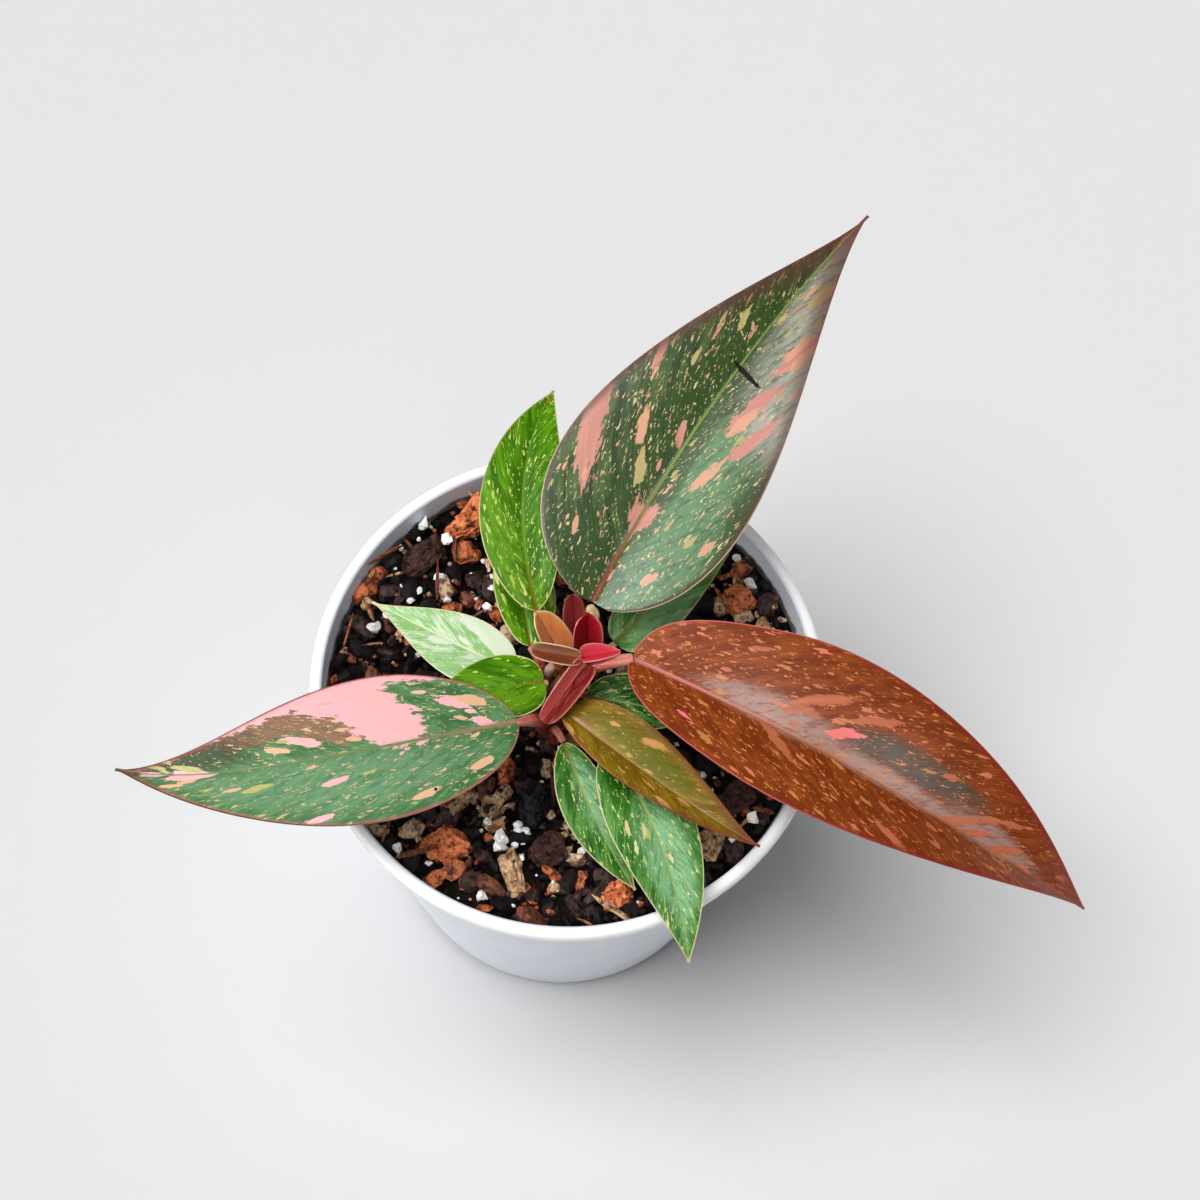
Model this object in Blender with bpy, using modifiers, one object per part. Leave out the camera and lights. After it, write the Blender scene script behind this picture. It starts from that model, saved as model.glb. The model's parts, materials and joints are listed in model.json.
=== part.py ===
"""Potted philodendron: a short leaning stem with twelve variegated leaves in a white nursery pot.

Metres, +Z up. The origin is the centre of the pot's foot, where the pot stands, and -Y is the
front. Leaf blades and sheaths are thin curved sheets; each leaf hangs on a stalk from the stem.
"""

import math
from dataclasses import dataclass

import bmesh
import bpy
import numpy as np
from mathutils import Matrix, Vector, noise

MM = 0.001
GAP = 0.3 * MM  # clearance between neighbouring solids

# Pot: a turned shell with a rolled lip, a stepped foot and drain holes
POT_HEIGHT = 125.0 * MM
RIM_RADIUS = 62.5 * MM
LIP_WIDTH = 3.0 * MM
LIP_HEIGHT = 4.2 * MM
LIP_ROUND = 1.2 * MM
BODY_TOP_RADIUS = 60.4 * MM
BODY_FOOT_RADIUS = 46.0 * MM
WALL = 1.3 * MM
FLOOR = 1.8 * MM
FOOT_HEIGHT = 3.0 * MM
FOOT_STEP = 1.4 * MM
POT_SEGMENTS = 56
DRAIN_RADIUS = 2.4 * MM
DRAIN_RING = 31.0 * MM
DRAIN_COUNT = 8

# Potting mix, slightly mounded in the middle
SOIL_EDGE = 112.0 * MM
SOIL_CROWN = 114.5 * MM

# Stem: leans from the mix towards the crown (millimetres)
STEM_PATH = ((-4.2, -8.2, 97.0), (-3.4, -7.3, 113.0), (-1.6, -5.0, 127.0), (1.4, -2.6, 137.0))
STEM_RADII = (5.0, 4.7, 4.2, 3.4)

LEAF_THICKNESS = 0.6 * MM
SHEATH_THICKNESS = 0.6 * MM
TIP_HALF_WIDTH = 0.5 * MM
SHOULDER = 0.22  # share of the blade's length that its rounded shoulders take


@dataclass
class Sheet:
    """A leaf blade or a sheath. Lengths in millimetres, angles in degrees."""

    name: str
    base: tuple  # where the midrib starts
    heading: float  # compass direction of the midrib at its base, from +X towards +Y
    pitch: float  # how steeply the midrib rises at its base
    arch: float  # how far it bends down by the tip
    sway: float  # how far it turns sideways by the tip
    hook: float  # a further turn, gathered near the tip
    length: float
    widths: tuple  # greatest half widths, left and right of the midrib
    roll: float  # tilt about the midrib
    fold: float  # how steeply each half rises from the midrib
    curl: float  # how far each half bends back down by its edge
    swell: tuple  # outline exponents at the base, left and right: smaller is rounder
    taper: tuple  # outline exponents at the tip, left and right: larger is more drawn out
    lobe: float  # how far the shoulders reach back, as a share of the half width
    colour: tuple
    grid: tuple = (12, 8)  # cells along and across


GREEN = (0.10, 0.22, 0.04)
DEEP_GREEN = (0.05, 0.12, 0.05)
BRIGHT_GREEN = (0.16, 0.36, 0.03)
MINT = (0.42, 0.58, 0.33)
COPPER = (0.25, 0.08, 0.03)
BRONZE = (0.20, 0.14, 0.02)
PINK_GREEN = (0.30, 0.20, 0.12)
CRIMSON = (0.42, 0.02, 0.03)
MAROON = (0.16, 0.03, 0.03)
ORANGE_TAN = (0.45, 0.18, 0.06)
BROWN_TAN = (0.40, 0.18, 0.11)
STALK_PINK = (0.42, 0.16, 0.12)
STALK_GREEN = (0.30, 0.26, 0.10)

BLADES = (
    Sheet("blade_back_large", (4.0, 11.0, 150.0), 64, 25, 22, -11, -2, 115.0, (26.0, 23.3),
          -6, 10, 13, (0.59, 0.54), (1.61, 1.30), 0.0, DEEP_GREEN, (16, 8)),
    Sheet("blade_right_copper", (14.0, -1.5, 150.0), -21, 2, 49, 3, 11, 137.0, (24.0, 17.8),
          -1, 20, 12, (0.71, 0.69), (1.09, 1.50), 0.29, COPPER, (18, 8)),
    Sheet("blade_left_pink", (-10.5, -17.7, 146.0), -160, 13, 26, -6, -26, 94.0, (18.5, 17.6),
          6, 11, 15, (0.71, 0.79), (1.28, 1.46), 0.09, PINK_GREEN, (16, 8)),
    Sheet("blade_back_green", (-8.6, 10.7, 144.0), 113, 29, 39, -43, -3, 57.0, (10.3, 10.0),
          3, 13, 17, (0.83, 0.77), (1.20, 1.00), 0.13, BRIGHT_GREEN),
    Sheet("blade_back_small", (-9.7, 6.0, 133.0), 105, 15, 27, -3, 0, 35.0, (6.5, 8.0),
          2, 13, 18, (0.65, 0.60), (0.94, 1.05), 0.14, BRIGHT_GREEN, (10, 6)),
    Sheet("blade_mint", (-13.3, -0.6, 132.0), 160, 10, 21, -6, -1, 39.0, (8.5, 8.1),
          0, 12, 18, (0.62, 0.63), (1.42, 1.42), 0.16, MINT, (10, 6)),
    Sheet("blade_left_small", (-5.5, -4.2, 137.0), -165, 9, 15, 5, 1, 29.0, (7.9, 8.3),
          0, 10, 18, (0.50, 0.57), (1.25, 1.09), 0.12, BRIGHT_GREEN, (10, 6)),
    Sheet("blade_right_small", (10.4, 8.0, 134.0), 49, 13, 18, -6, 0, 41.0, (7.2, 7.8),
          2, 12, 18, (0.55, 0.46), (1.08, 1.08), 0.18, GREEN, (10, 6)),
    Sheet("blade_under_copper", (4.6, -5.0, 131.0), -6, 7, 16, -3, -1, 29.0, (7.4, 7.1),
          0, 12, 18, (0.63, 0.58), (1.14, 1.21), 0.12, GREEN, (10, 6)),
    Sheet("blade_front_bronze", (-0.6, -13.2, 142.0), -36, 11, 31, 8, 11, 56.0, (9.8, 6.1),
          -9, 19, 16, (0.57, 0.66), (1.25, 1.10), 0.13, BRONZE),
    Sheet("blade_front_green", (11.0, -19.0, 136.0), -54, 6, 27, -22, -4, 54.0, (9.9, 10.0),
          0, 12, 18, (0.63, 0.62), (1.10, 1.10), 0.14, GREEN),
    Sheet("blade_front_small", (0.0, -16.6, 130.0), -67, 1, 20, 14, 4, 39.0, (5.9, 6.6),
          1, 11, 18, (0.72, 0.78), (1.04, 1.07), 0.12, GREEN, (10, 6)),
)

# Young leaf and the sheaths of older leaves, round the top of the stem
SHEATHS = (
    Sheet("young_leaf_red", (4.0, 2.2, 135.5), 95, 82, 12, 0, 0, 19.0, (4.6, 4.6),
          0, 36, -20, (0.45, 0.45), (0.45, 0.45), 0.0, CRIMSON, (8, 6)),
    Sheet("young_leaf_flap", (3.6, -1.6, 149.0), 8, 10, 0, 0, 0, 7.4, (2.0, 2.0),
          0, 50, -10, (0.5, 0.5), (0.7, 0.7), 0.0, CRIMSON, (5, 4)),
    Sheet("sheath_red_front", (2.6, -4.3, 147.6), -126, -24, 10, 0, 0, 14.4, (4.0, 4.8),
          -12, 42, -24, (0.4, 0.4), (0.6, 0.6), 0.0, CRIMSON, (8, 6)),
    Sheet("sheath_orange", (-1.3, 0.5, 137.3), 138, 60, 6, 0, 0, 17.0, (4.6, 4.8),
          0, 34, -10, (0.5, 0.5), (0.8, 0.8), 0.0, ORANGE_TAN, (8, 6)),
    Sheet("sheath_brown", (2.9, -2.8, 149.4), 174, -4, -4, 0, 0, 11.4, (3.5, 4.3),
          20, 45, -14, (0.45, 0.45), (0.6, 0.6), 0.0, BROWN_TAN, (7, 6)),
    Sheet("sheath_maroon_back", (0.4, 6.3, 134.0), 100, 40, 6, 0, 0, 13.5, (3.3, 3.3),
          0, 40, -10, (0.5, 0.5), (0.6, 0.6), 0.0, MAROON, (8, 4)),
)


@dataclass
class Stalk:
    """A leaf stalk: a bent, tapering rod from the stem to its blade. Millimetres."""

    name: str
    path: tuple
    radii: tuple
    colour: tuple


STALKS = (
    Stalk("stalk_back_large", ((1.0, 2.1, 131.0), (1.6, 5.6, 139.0), (4.6, 9.0, 146.6),
                               (4.0, 10.7, 149.7)), (1.8, 1.7, 1.6, 1.5), STALK_GREEN),
    Stalk("stalk_right_copper", ((1.9, -2.6, 138.2), (3.0, -3.0, 144.6), (7.4, -2.8, 148.2),
                                 (14.5, -1.8, 149.9)), (2.3, 2.0, 1.5, 1.2), STALK_PINK),
    Stalk("stalk_left_pink", ((-5.3, -10.9, 124.0), (-5.5, -12.4, 132.0), (-7.8, -15.6, 141.0),
                              (-10.6, -17.7, 145.8)), (1.7, 1.5, 1.5, 1.3), STALK_PINK),
    Stalk("stalk_back_green", ((-2.5, 1.2, 128.5), (-4.4, 4.8, 136.0), (-7.2, 8.4, 141.6),
                               (-8.4, 10.3, 143.7)), (1.4, 1.3, 1.2, 1.1), STALK_GREEN),
    Stalk("stalk_back_small", ((-4.9, -0.1, 125.5), (-6.6, 2.2, 129.2), (-8.4, 4.4, 131.9),
                               (-9.6, 5.6, 132.8)), (1.2, 1.1, 1.0, 0.9), STALK_PINK),
    Stalk("stalk_mint", ((-8.6, -4.8, 119.0), (-10.0, -3.2, 125.6), (-11.8, -1.3, 130.4),
                         (-12.9, -0.7, 131.8)), (1.2, 1.1, 1.0, 0.9), STALK_GREEN),
    Stalk("stalk_left_small", ((-7.7, -7.8, 124.0), (-7.2, -6.4, 130.0), (-5.8, -4.8, 134.4),
                               (-5.4, -4.3, 136.3)), (1.2, 1.1, 1.0, 0.9), STALK_GREEN),
    Stalk("stalk_right_small", ((2.0, -1.4, 123.0), (5.4, 2.6, 129.0), (9.0, 6.6, 133.0),
                                (10.2, 7.7, 133.8)), (1.3, 1.1, 1.0, 0.9), STALK_GREEN),
    Stalk("stalk_under_copper", ((3.8, -6.7, 120.0), (4.5, -6.3, 126.0), (4.4, -5.6, 129.2),
                                 (4.4, -5.3, 130.2)), (1.2, 1.1, 1.0, 0.9), STALK_PINK),
    Stalk("stalk_front_bronze", ((0.6, -10.6, 127.0), (0.5, -11.4, 134.0), (-0.4, -12.4, 139.4),
                                 (-0.7, -12.9, 141.6)), (1.4, 1.3, 1.2, 1.0), STALK_PINK),
    Stalk("stalk_front_green", ((1.3, -11.2, 118.0), (4.6, -14.6, 125.0), (9.4, -17.8, 133.6),
                                (10.8, -18.8, 135.7)), (1.4, 1.3, 1.2, 1.0), STALK_GREEN),
    Stalk("stalk_front_small", ((-2.3, -12.4, 119.0), (-2.6, -12.5, 126.5), (-1.6, -14.2, 130.2),
                                (-0.3, -16.1, 130.0)), (1.2, 1.1, 1.0, 0.9), STALK_PINK),
    Stalk("stalk_stub_old", ((-5.0, -1.3, 132.2), (-4.7, -1.1, 136.0), (-4.3, -1.3, 139.3)),
          (1.2, 1.4, 1.1), BROWN_TAN),
)


@dataclass
class Chip:
    """A piece of bark, charcoal or dry leaf lying on the mix. Millimetres and degrees."""

    name: str
    centre: tuple
    size: tuple  # length, width, height
    turn: float
    seed: int
    colour: tuple


RUST = (0.30, 0.10, 0.05)
DARK_BARK = (0.07, 0.04, 0.04)
TAN_BARK = (0.40, 0.26, 0.17)
CHARCOAL = (0.02, 0.02, 0.025)

CHIPS = (
    Chip("bark_rust_back", (-27.5, 43.5), (13.0, 7.0, 6.0), 58, 1, RUST),
    Chip("bark_brown_back", (-38.5, 33.0), (12.0, 7.0, 4.5), 42, 2, DARK_BARK),
    Chip("bark_rust_front", (-25.5, -40.0), (11.5, 7.5, 5.0), 8, 3, RUST),
    Chip("leaf_litter_outer", (-24.5, -28.0), (10.5, 6.0, 4.0), 62, 4, TAN_BARK),
    Chip("leaf_litter_inner", (-15.6, -31.5), (9.5, 5.2, 4.0), 105, 5, TAN_BARK),
    Chip("charcoal_front", (-6.0, -28.8), (11.0, 7.0, 5.0), 80, 6, CHARCOAL),
    Chip("bark_orange_small", (-13.4, -21.2), (6.5, 4.0, 3.5), 96, 7, RUST),
    Chip("bark_block_front", (-1.8, -40.6), (8.5, 8.0, 5.0), 40, 8, DARK_BARK),
    Chip("bark_tan_front", (-9.4, -46.0), (11.5, 5.0, 3.5), 115, 9, TAN_BARK),
    Chip("bark_round_front", (15.5, -49.5), (7.5, 6.5, 5.0), 20, 10, RUST),
    Chip("bark_rust_right", (40.5, 28.5), (7.5, 7.0, 4.5), 30, 11, RUST),
    Chip("bark_tan_right", (47.0, 18.5), (9.5, 6.0, 3.5), 70, 12, TAN_BARK),
    Chip("bark_dark_right", (43.0, -22.5), (9.5, 7.0, 4.5), 35, 13, DARK_BARK),
    Chip("bark_tan_low", (36.5, -35.5), (8.0, 6.5, 4.0), 60, 14, TAN_BARK),
)

for item in list(bpy.data.objects):
    bpy.data.objects.remove(item, do_unlink=True)

plant = bpy.data.collections.new("potted_philodendron")
cutters = bpy.data.collections.new("cutters")
bpy.context.scene.collection.children.link(plant)
bpy.context.scene.collection.children.link(cutters)


def material(name, colour, roughness=0.5):
    """A Principled material, made once for each name."""
    found = bpy.data.materials.get(name)
    if found:
        return found
    made = bpy.data.materials.new(name)
    made.use_nodes = True
    shader = made.node_tree.nodes["Principled BSDF"]
    shader.inputs["Base Color"].default_value = (*colour, 1.0)
    shader.inputs["Roughness"].default_value = roughness
    shader.inputs["Metallic"].default_value = 0.0
    return made


def add_object(name, data, surface, collection=plant):
    """Links a new object that carries the data and one material."""
    made = bpy.data.objects.new(name, data)
    if surface:
        data.materials.append(surface)
    collection.objects.link(made)
    return made


def as_cutter(item):
    """Marks an object as a construction aid that is not part of the plant."""
    item.hide_render = True
    item.display_type = "WIRE"
    return item


def turned(name, profile, segments, surface, collection=plant):
    """A body of revolution: the (radius, height) profile swept once round Z by a Screw."""
    mesh = bpy.data.meshes.new(name)
    points = [(radius, 0.0, height) for radius, height in profile]
    edges = [(i, i + 1) for i in range(len(points) - 1)]
    mesh.from_pydata(points, edges, [])
    made = add_object(name, mesh, surface, collection)
    screw = made.modifiers.new("Screw", "SCREW")
    screw.axis = "Z"
    screw.steps = segments
    screw.render_steps = segments
    screw.use_merge_vertices = True
    screw.merge_threshold = 0.00001
    screw.use_smooth_shade = True
    return made


def arc(centre, radius, start, end, count):
    """Points (radius, height) along an arc in the profile plane, angles in degrees."""
    angles = np.radians(np.linspace(start, end, count))
    return [(centre[0] + radius * math.cos(a), centre[1] + radius * math.sin(a)) for a in angles]


def smooth_path(points, steps):
    """A Catmull-Rom curve through the points, with that many steps in each span."""
    knots = np.array(points, float)
    first = 2 * knots[0] - knots[1]
    last = 2 * knots[-1] - knots[-2]
    knots = np.vstack([first, knots, last])
    t = np.linspace(0.0, 1.0, steps, endpoint=False)[:, None]
    spans = []
    for p0, p1, p2, p3 in zip(knots, knots[1:], knots[2:], knots[3:]):
        cubic = -p0 + 3 * p1 - 3 * p2 + p3
        square = 2 * p0 - 5 * p1 + 4 * p2 - p3
        spans.append(0.5 * (2 * p1 + (p2 - p0) * t + square * t**2 + cubic * t**3))
    return np.vstack([*spans, knots[-2:-1]])


def tube(name, path, radii, surface, steps=4, resolution=2, collection=plant):
    """A capped rod along a smooth path, its radius eased between the path's own points."""
    centre = smooth_path(path, steps)
    spots = np.linspace(0.0, len(radii) - 1.0, len(centre))
    thickness = np.interp(spots, range(len(radii)), radii)
    curve = bpy.data.curves.new(name, "CURVE")
    curve.dimensions = "3D"
    curve.bevel_depth = MM
    curve.bevel_resolution = resolution
    curve.use_fill_caps = True
    spline = curve.splines.new("POLY")
    spline.points.add(len(centre) - 1)
    for point, place, radius in zip(spline.points, centre, thickness):
        point.co = (*(Vector(place) * MM), 1.0)
        point.radius = radius
    return add_object(name, curve, surface, collection)


def as_mesh(item):
    """Turns a curve object into a mesh object with its end caps welded on."""
    bpy.context.view_layer.update()
    evaluated = item.evaluated_get(bpy.context.evaluated_depsgraph_get())
    mesh = bpy.data.meshes.new_from_object(evaluated)
    bm = bmesh.new()
    bm.from_mesh(mesh)
    bmesh.ops.remove_doubles(bm, verts=bm.verts, dist=0.000001)
    bm.to_mesh(mesh)
    bm.free()
    name = item.name
    place = item.matrix_world.copy()
    collection = item.users_collection[0]
    bpy.data.objects.remove(item)
    made = bpy.data.objects.new(name, mesh)
    made.matrix_world = place
    collection.objects.link(made)
    return made


def cut(item, cutter):
    """Takes the cutter's volume out of the item."""
    boolean = item.modifiers.new("Cut", "BOOLEAN")
    boolean.operation = "DIFFERENCE"
    boolean.object = as_cutter(cutter)


def midrib(sheet, samples=121):
    """Places, tangents and headings along the midrib, from its turning rates."""
    t = np.linspace(0.0, 1.0, samples)
    heading = np.radians(sheet.heading + sheet.sway * t + sheet.hook * t**4)
    pitch = np.radians(sheet.pitch - sheet.arch * t)
    level = np.cos(pitch)
    tangent = np.stack([level * np.cos(heading), level * np.sin(heading), np.sin(pitch)], -1)
    steps = (tangent[1:] + tangent[:-1]) * 0.5 * sheet.length / (samples - 1)
    place = np.vstack([np.zeros(3), np.cumsum(steps, 0)]) + np.array(sheet.base)
    return t, place * MM, tangent, heading


def half_width(sheet, along, side):
    """Half width of the outline: a power of the way from the base times one from the tip."""
    swell = np.where(side >= 0, sheet.swell[0], sheet.swell[1])
    taper = np.where(side >= 0, sheet.taper[0], sheet.taper[1])
    widest = np.where(side >= 0, sheet.widths[0], sheet.widths[1]) * MM
    peak = swell / (swell + taper)
    scale = peak**swell * (1 - peak) ** taper
    width = widest * along**swell * (1 - along) ** taper / scale
    return np.maximum(width, TIP_HALF_WIDTH), widest


def sheet_surface(sheet, along, across):
    """Points of the sheet's middle surface.

    along runs 0 to 1 from base to tip and across -1 to 1 from right edge to left edge. Each half
    leaves the midrib at the fold angle and bends at an even rate, so its section is an arc.
    """
    t, place, tangent, heading = midrib(sheet)
    width, widest = half_width(sheet, along, across)
    shoulder = np.clip(along / SHOULDER, 0.0, 1.0)
    back = sheet.lobe * widest * np.sin(np.pi * shoulder) * (1.0 - shoulder) * np.abs(across)
    station = along - back / (sheet.length * MM)
    inside = np.clip(station, 0.0, 1.0)

    def read(table):
        return np.stack([np.interp(inside, t, table[:, k]) for k in range(3)], -1)

    forward = read(tangent)
    forward /= np.linalg.norm(forward, axis=-1, keepdims=True)
    centre = read(place) + forward * ((station - inside) * sheet.length * MM)[..., None]
    angle = np.interp(inside, t, heading)
    level = np.stack([-np.sin(angle), np.cos(angle), np.zeros_like(angle)], -1)
    upright = np.cross(forward, level)
    roll = math.radians(sheet.roll)
    sideways = math.cos(roll) * level + math.sin(roll) * upright
    normal = math.cos(roll) * upright - math.sin(roll) * level

    fold = math.radians(sheet.fold)
    curl = math.radians(sheet.curl)
    reach = np.abs(across) * width
    lean = fold - curl * reach / widest
    out = widest / curl * (math.sin(fold) - np.sin(lean)) * np.sign(across)
    rise = widest / curl * (np.cos(lean) - math.cos(fold))
    return centre + out[..., None] * sideways + rise[..., None] * normal


def add_sheet(sheet, thickness, roughness):
    """A grid laid on the sheet's surface and given its thickness by Solidify."""
    rows, columns = sheet.grid
    bm = bmesh.new()
    bmesh.ops.create_grid(bm, x_segments=rows, y_segments=columns, size=1.0)
    flat = np.array([vertex.co for vertex in bm.verts])
    even = 0.5 + 0.5 * flat[:, 0]
    eased = 0.5 - 0.5 * np.cos(np.pi * even)
    along = 0.012 + 0.985 * (0.6 * even + 0.4 * eased)
    placed = sheet_surface(sheet, np.minimum(along, 0.997), flat[:, 1])
    for vertex, point in zip(bm.verts, placed):
        vertex.co = point
    mesh = bpy.data.meshes.new(sheet.name)
    bm.to_mesh(mesh)
    bm.free()
    made = add_object(sheet.name, mesh, material(sheet.name, sheet.colour, roughness))
    solidify = made.modifiers.new("Solidify", "SOLIDIFY")
    solidify.thickness = thickness
    solidify.offset = 0.0
    mesh.shade_smooth()
    return made


def soil_level(radius):
    """Height of the mix at a distance from the pot's axis."""
    share = min(radius / BODY_TOP_RADIUS, 1.0)
    return SOIL_CROWN + (SOIL_EDGE - SOIL_CROWN) * share * share


def add_chip(chip):
    """A rough block with a flat underside: a cube whose corners are pushed about by noise."""
    bm = bmesh.new()
    bmesh.ops.create_cube(bm, size=1.0)
    bmesh.ops.subdivide_edges(bm, edges=bm.edges, cuts=2, use_grid_fill=True)
    noise.seed_set(chip.seed)
    for vertex in bm.verts:
        corner = max(0.0, vertex.co.length - 0.62)
        vertex.co *= 1.0 - 0.55 * corner
        vertex.co += 0.16 * noise.noise_vector(vertex.co * 1.9)
    low = min(vertex.co.z for vertex in bm.verts)
    for vertex in bm.verts:
        vertex.co.z = max(vertex.co.z, low + 0.14)
    bmesh.ops.scale(bm, vec=Vector(chip.size) * MM, verts=bm.verts)
    bmesh.ops.triangulate(bm, faces=bm.faces)
    mesh = bpy.data.meshes.new(chip.name)
    bm.to_mesh(mesh)
    bm.free()
    made = add_object(chip.name, mesh, material(chip.name, chip.colour, 0.85))
    turn = math.radians(chip.turn)
    made.rotation_euler = (0.0, 0.0, turn)
    foot = min(vertex.co.z for vertex in mesh.vertices)
    spot = Vector((chip.centre[0], chip.centre[1])) * MM
    under = [
        soil_level((spot + (Matrix.Rotation(turn, 2) @ vertex.co.xy)).length)
        for vertex in mesh.vertices
    ]
    made.location = (spot.x, spot.y, max(under) + GAP - foot)
    return made


# Pot: outer side from the lip down, under the foot, then up the inside
wall_lean = (BODY_TOP_RADIUS - BODY_FOOT_RADIUS) / (POT_HEIGHT - LIP_HEIGHT - FOOT_HEIGHT)
lip_middle = RIM_RADIUS - LIP_ROUND
lip_bottom = POT_HEIGHT - LIP_HEIGHT
lip_inner = RIM_RADIUS - LIP_WIDTH
inner_floor_radius = BODY_FOOT_RADIUS - WALL - 0.4 * MM
pot_profile = [
    *arc((lip_inner + 1.0 * MM, POT_HEIGHT - 1.0 * MM), 1.0 * MM, 135, 90, 3),
    *arc((lip_middle, POT_HEIGHT - LIP_ROUND), LIP_ROUND, 90, 0, 4),
    *arc((RIM_RADIUS - 0.8 * MM, lip_bottom + 0.8 * MM), 0.8 * MM, 0, -90, 3),
    (BODY_TOP_RADIUS, lip_bottom),
    (BODY_FOOT_RADIUS, FOOT_HEIGHT),
    (BODY_FOOT_RADIUS - FOOT_STEP, FOOT_HEIGHT - 0.5 * MM),
    (BODY_FOOT_RADIUS - FOOT_STEP, 0.5 * MM),
    (BODY_FOOT_RADIUS - FOOT_STEP - 0.5 * MM, 0.0),
    (0.0, 0.0),
]
inner_profile = [
    (0.0, FLOOR),
    (inner_floor_radius - FOOT_STEP - 0.4 * MM, FLOOR),
    (inner_floor_radius, FOOT_HEIGHT + 1.5 * MM),
    (BODY_TOP_RADIUS - WALL, lip_bottom),
]
pot = turned("pot", [*pot_profile, *inner_profile, pot_profile[0]], POT_SEGMENTS,
             material("pot_plastic", (0.80, 0.82, 0.86), 0.35))

drain = bmesh.new()
for index in range(DRAIN_COUNT):
    angle = 2 * math.pi * index / DRAIN_COUNT
    x = DRAIN_RING * math.cos(angle)
    y = DRAIN_RING * math.sin(angle)
    bmesh.ops.create_cone(drain, cap_ends=True, segments=12, radius1=DRAIN_RADIUS,
                          radius2=DRAIN_RADIUS, depth=4 * FLOOR,
                          matrix=Matrix.Translation((x, y, 0.0)))
drain_mesh = bpy.data.meshes.new("drain_cutter")
drain.to_mesh(drain_mesh)
drain.free()
cut(pot, add_object("drain_cutter", drain_mesh, None, cutters))

# Potting mix: fills the pot to just under the lip, with a hole for the stem
soil_top = [(share * BODY_TOP_RADIUS, soil_level(share * BODY_TOP_RADIUS))
            for share in (0.0, 0.25, 0.5, 0.75)]
edge_radius = BODY_TOP_RADIUS - WALL - wall_lean * (lip_bottom - SOIL_EDGE) - 1.2 * GAP
soil_foot = FOOT_HEIGHT + 2.0 * MM
soil_profile = [
    *soil_top,
    (edge_radius, SOIL_EDGE),
    (inner_floor_radius - 0.5 * GAP, soil_foot),
    (inner_floor_radius - FOOT_STEP - 1.6 * MM, FLOOR + GAP),
    (0.0, FLOOR + GAP),
]
soil = turned("soil", soil_profile, POT_SEGMENTS, material("soil", (0.03, 0.02, 0.018), 0.95))
stem_hole = tube("stem_hole_cutter", STEM_PATH, [r + 1.3 * GAP / MM for r in STEM_RADII], None,
                 steps=4, resolution=4, collection=cutters)
stem_hole = as_mesh(stem_hole)
stem_hole.location.z -= GAP
cut(soil, stem_hole)

# Stem, stalks, blades and sheaths
tube("stem", STEM_PATH, STEM_RADII, material("stem", (0.24, 0.16, 0.07), 0.6), resolution=4)
for stalk in STALKS:
    tube(stalk.name, stalk.path, stalk.radii, material(stalk.name, stalk.colour, 0.45), steps=3)
for blade in BLADES:
    add_sheet(blade, LEAF_THICKNESS, 0.35)
for sheath in SHEATHS:
    add_sheet(sheath, SHEATH_THICKNESS, 0.45)

# Loose pieces lying on the mix
for chip in CHIPS:
    add_chip(chip)
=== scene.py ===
"""Looks for the potted philodendron: a young variegated plant in a white plastic nursery pot.

The file follows the plant as it is potted up: pot, potting mix, stem, leaf stalks, leaf blades, the
sheaths round the growing tip, then the loose pieces on the mix, and last the floor, lights and camera.
"""

import json
import math

import bmesh
import bpy
import numpy as np
from mathutils import Matrix, Vector

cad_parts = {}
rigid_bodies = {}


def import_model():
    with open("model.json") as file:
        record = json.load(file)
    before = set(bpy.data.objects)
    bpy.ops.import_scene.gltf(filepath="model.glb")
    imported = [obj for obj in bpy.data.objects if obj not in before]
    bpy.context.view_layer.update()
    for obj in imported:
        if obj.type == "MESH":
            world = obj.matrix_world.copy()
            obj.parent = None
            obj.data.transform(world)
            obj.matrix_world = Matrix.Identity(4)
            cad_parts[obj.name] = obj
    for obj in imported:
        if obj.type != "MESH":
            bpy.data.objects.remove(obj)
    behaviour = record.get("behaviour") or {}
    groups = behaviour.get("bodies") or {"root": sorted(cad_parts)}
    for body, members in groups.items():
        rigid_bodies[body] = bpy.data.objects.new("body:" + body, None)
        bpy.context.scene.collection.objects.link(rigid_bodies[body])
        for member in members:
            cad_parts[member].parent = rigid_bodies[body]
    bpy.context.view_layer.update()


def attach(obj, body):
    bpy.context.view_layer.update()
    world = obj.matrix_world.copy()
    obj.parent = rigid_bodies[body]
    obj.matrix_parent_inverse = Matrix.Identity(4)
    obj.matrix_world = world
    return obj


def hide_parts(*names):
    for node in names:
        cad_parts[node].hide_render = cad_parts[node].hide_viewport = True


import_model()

# ---------------------------------------------------------------------------------------------
# Nursery pot: one injection-moulded shell of white plastic with a rolled lip, a stepped foot and
# eight drain holes. It has a few dark specks, and mix has dusted the inside of the wall.
# ---------------------------------------------------------------------------------------------
MM = 0.001
POT_HEIGHT = 125.0
RIM_RADIUS = 62.5
LIP_WIDTH = 3.0
LIP_HEIGHT = 4.2
LIP_ROUND = 1.3
BODY_TOP_RADIUS = 60.4
BODY_FOOT_RADIUS = 46.0
WALL = 1.3
FLOOR = 1.8
FOOT_HEIGHT = 3.0
FOOT_STEP = 1.4
POT_SPOKES = 224
DRAIN_RADIUS = 2.4
DRAIN_RING = 31.0
DRAIN_COUNT = 8
CREASE = math.radians(38)

# Heights between which the dust on the wall and the painted highlight on the lip fade in, in metres
DUST_FADE = (0.1226, 0.1208)
LIP_HIGHLIGHT_FADE = (0.1196, 0.1212)


def paint(red, green, blue):
    """Linear colour, with alpha, of a colour chart's red, green and blue from 0 to 255."""
    chart = np.array([red, green, blue]) / 255
    linear = np.where(chart <= 0.04045, chart / 12.92, ((chart + 0.055) / 1.055) ** 2.4)
    return (*linear.tolist(), 1.0)


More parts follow.
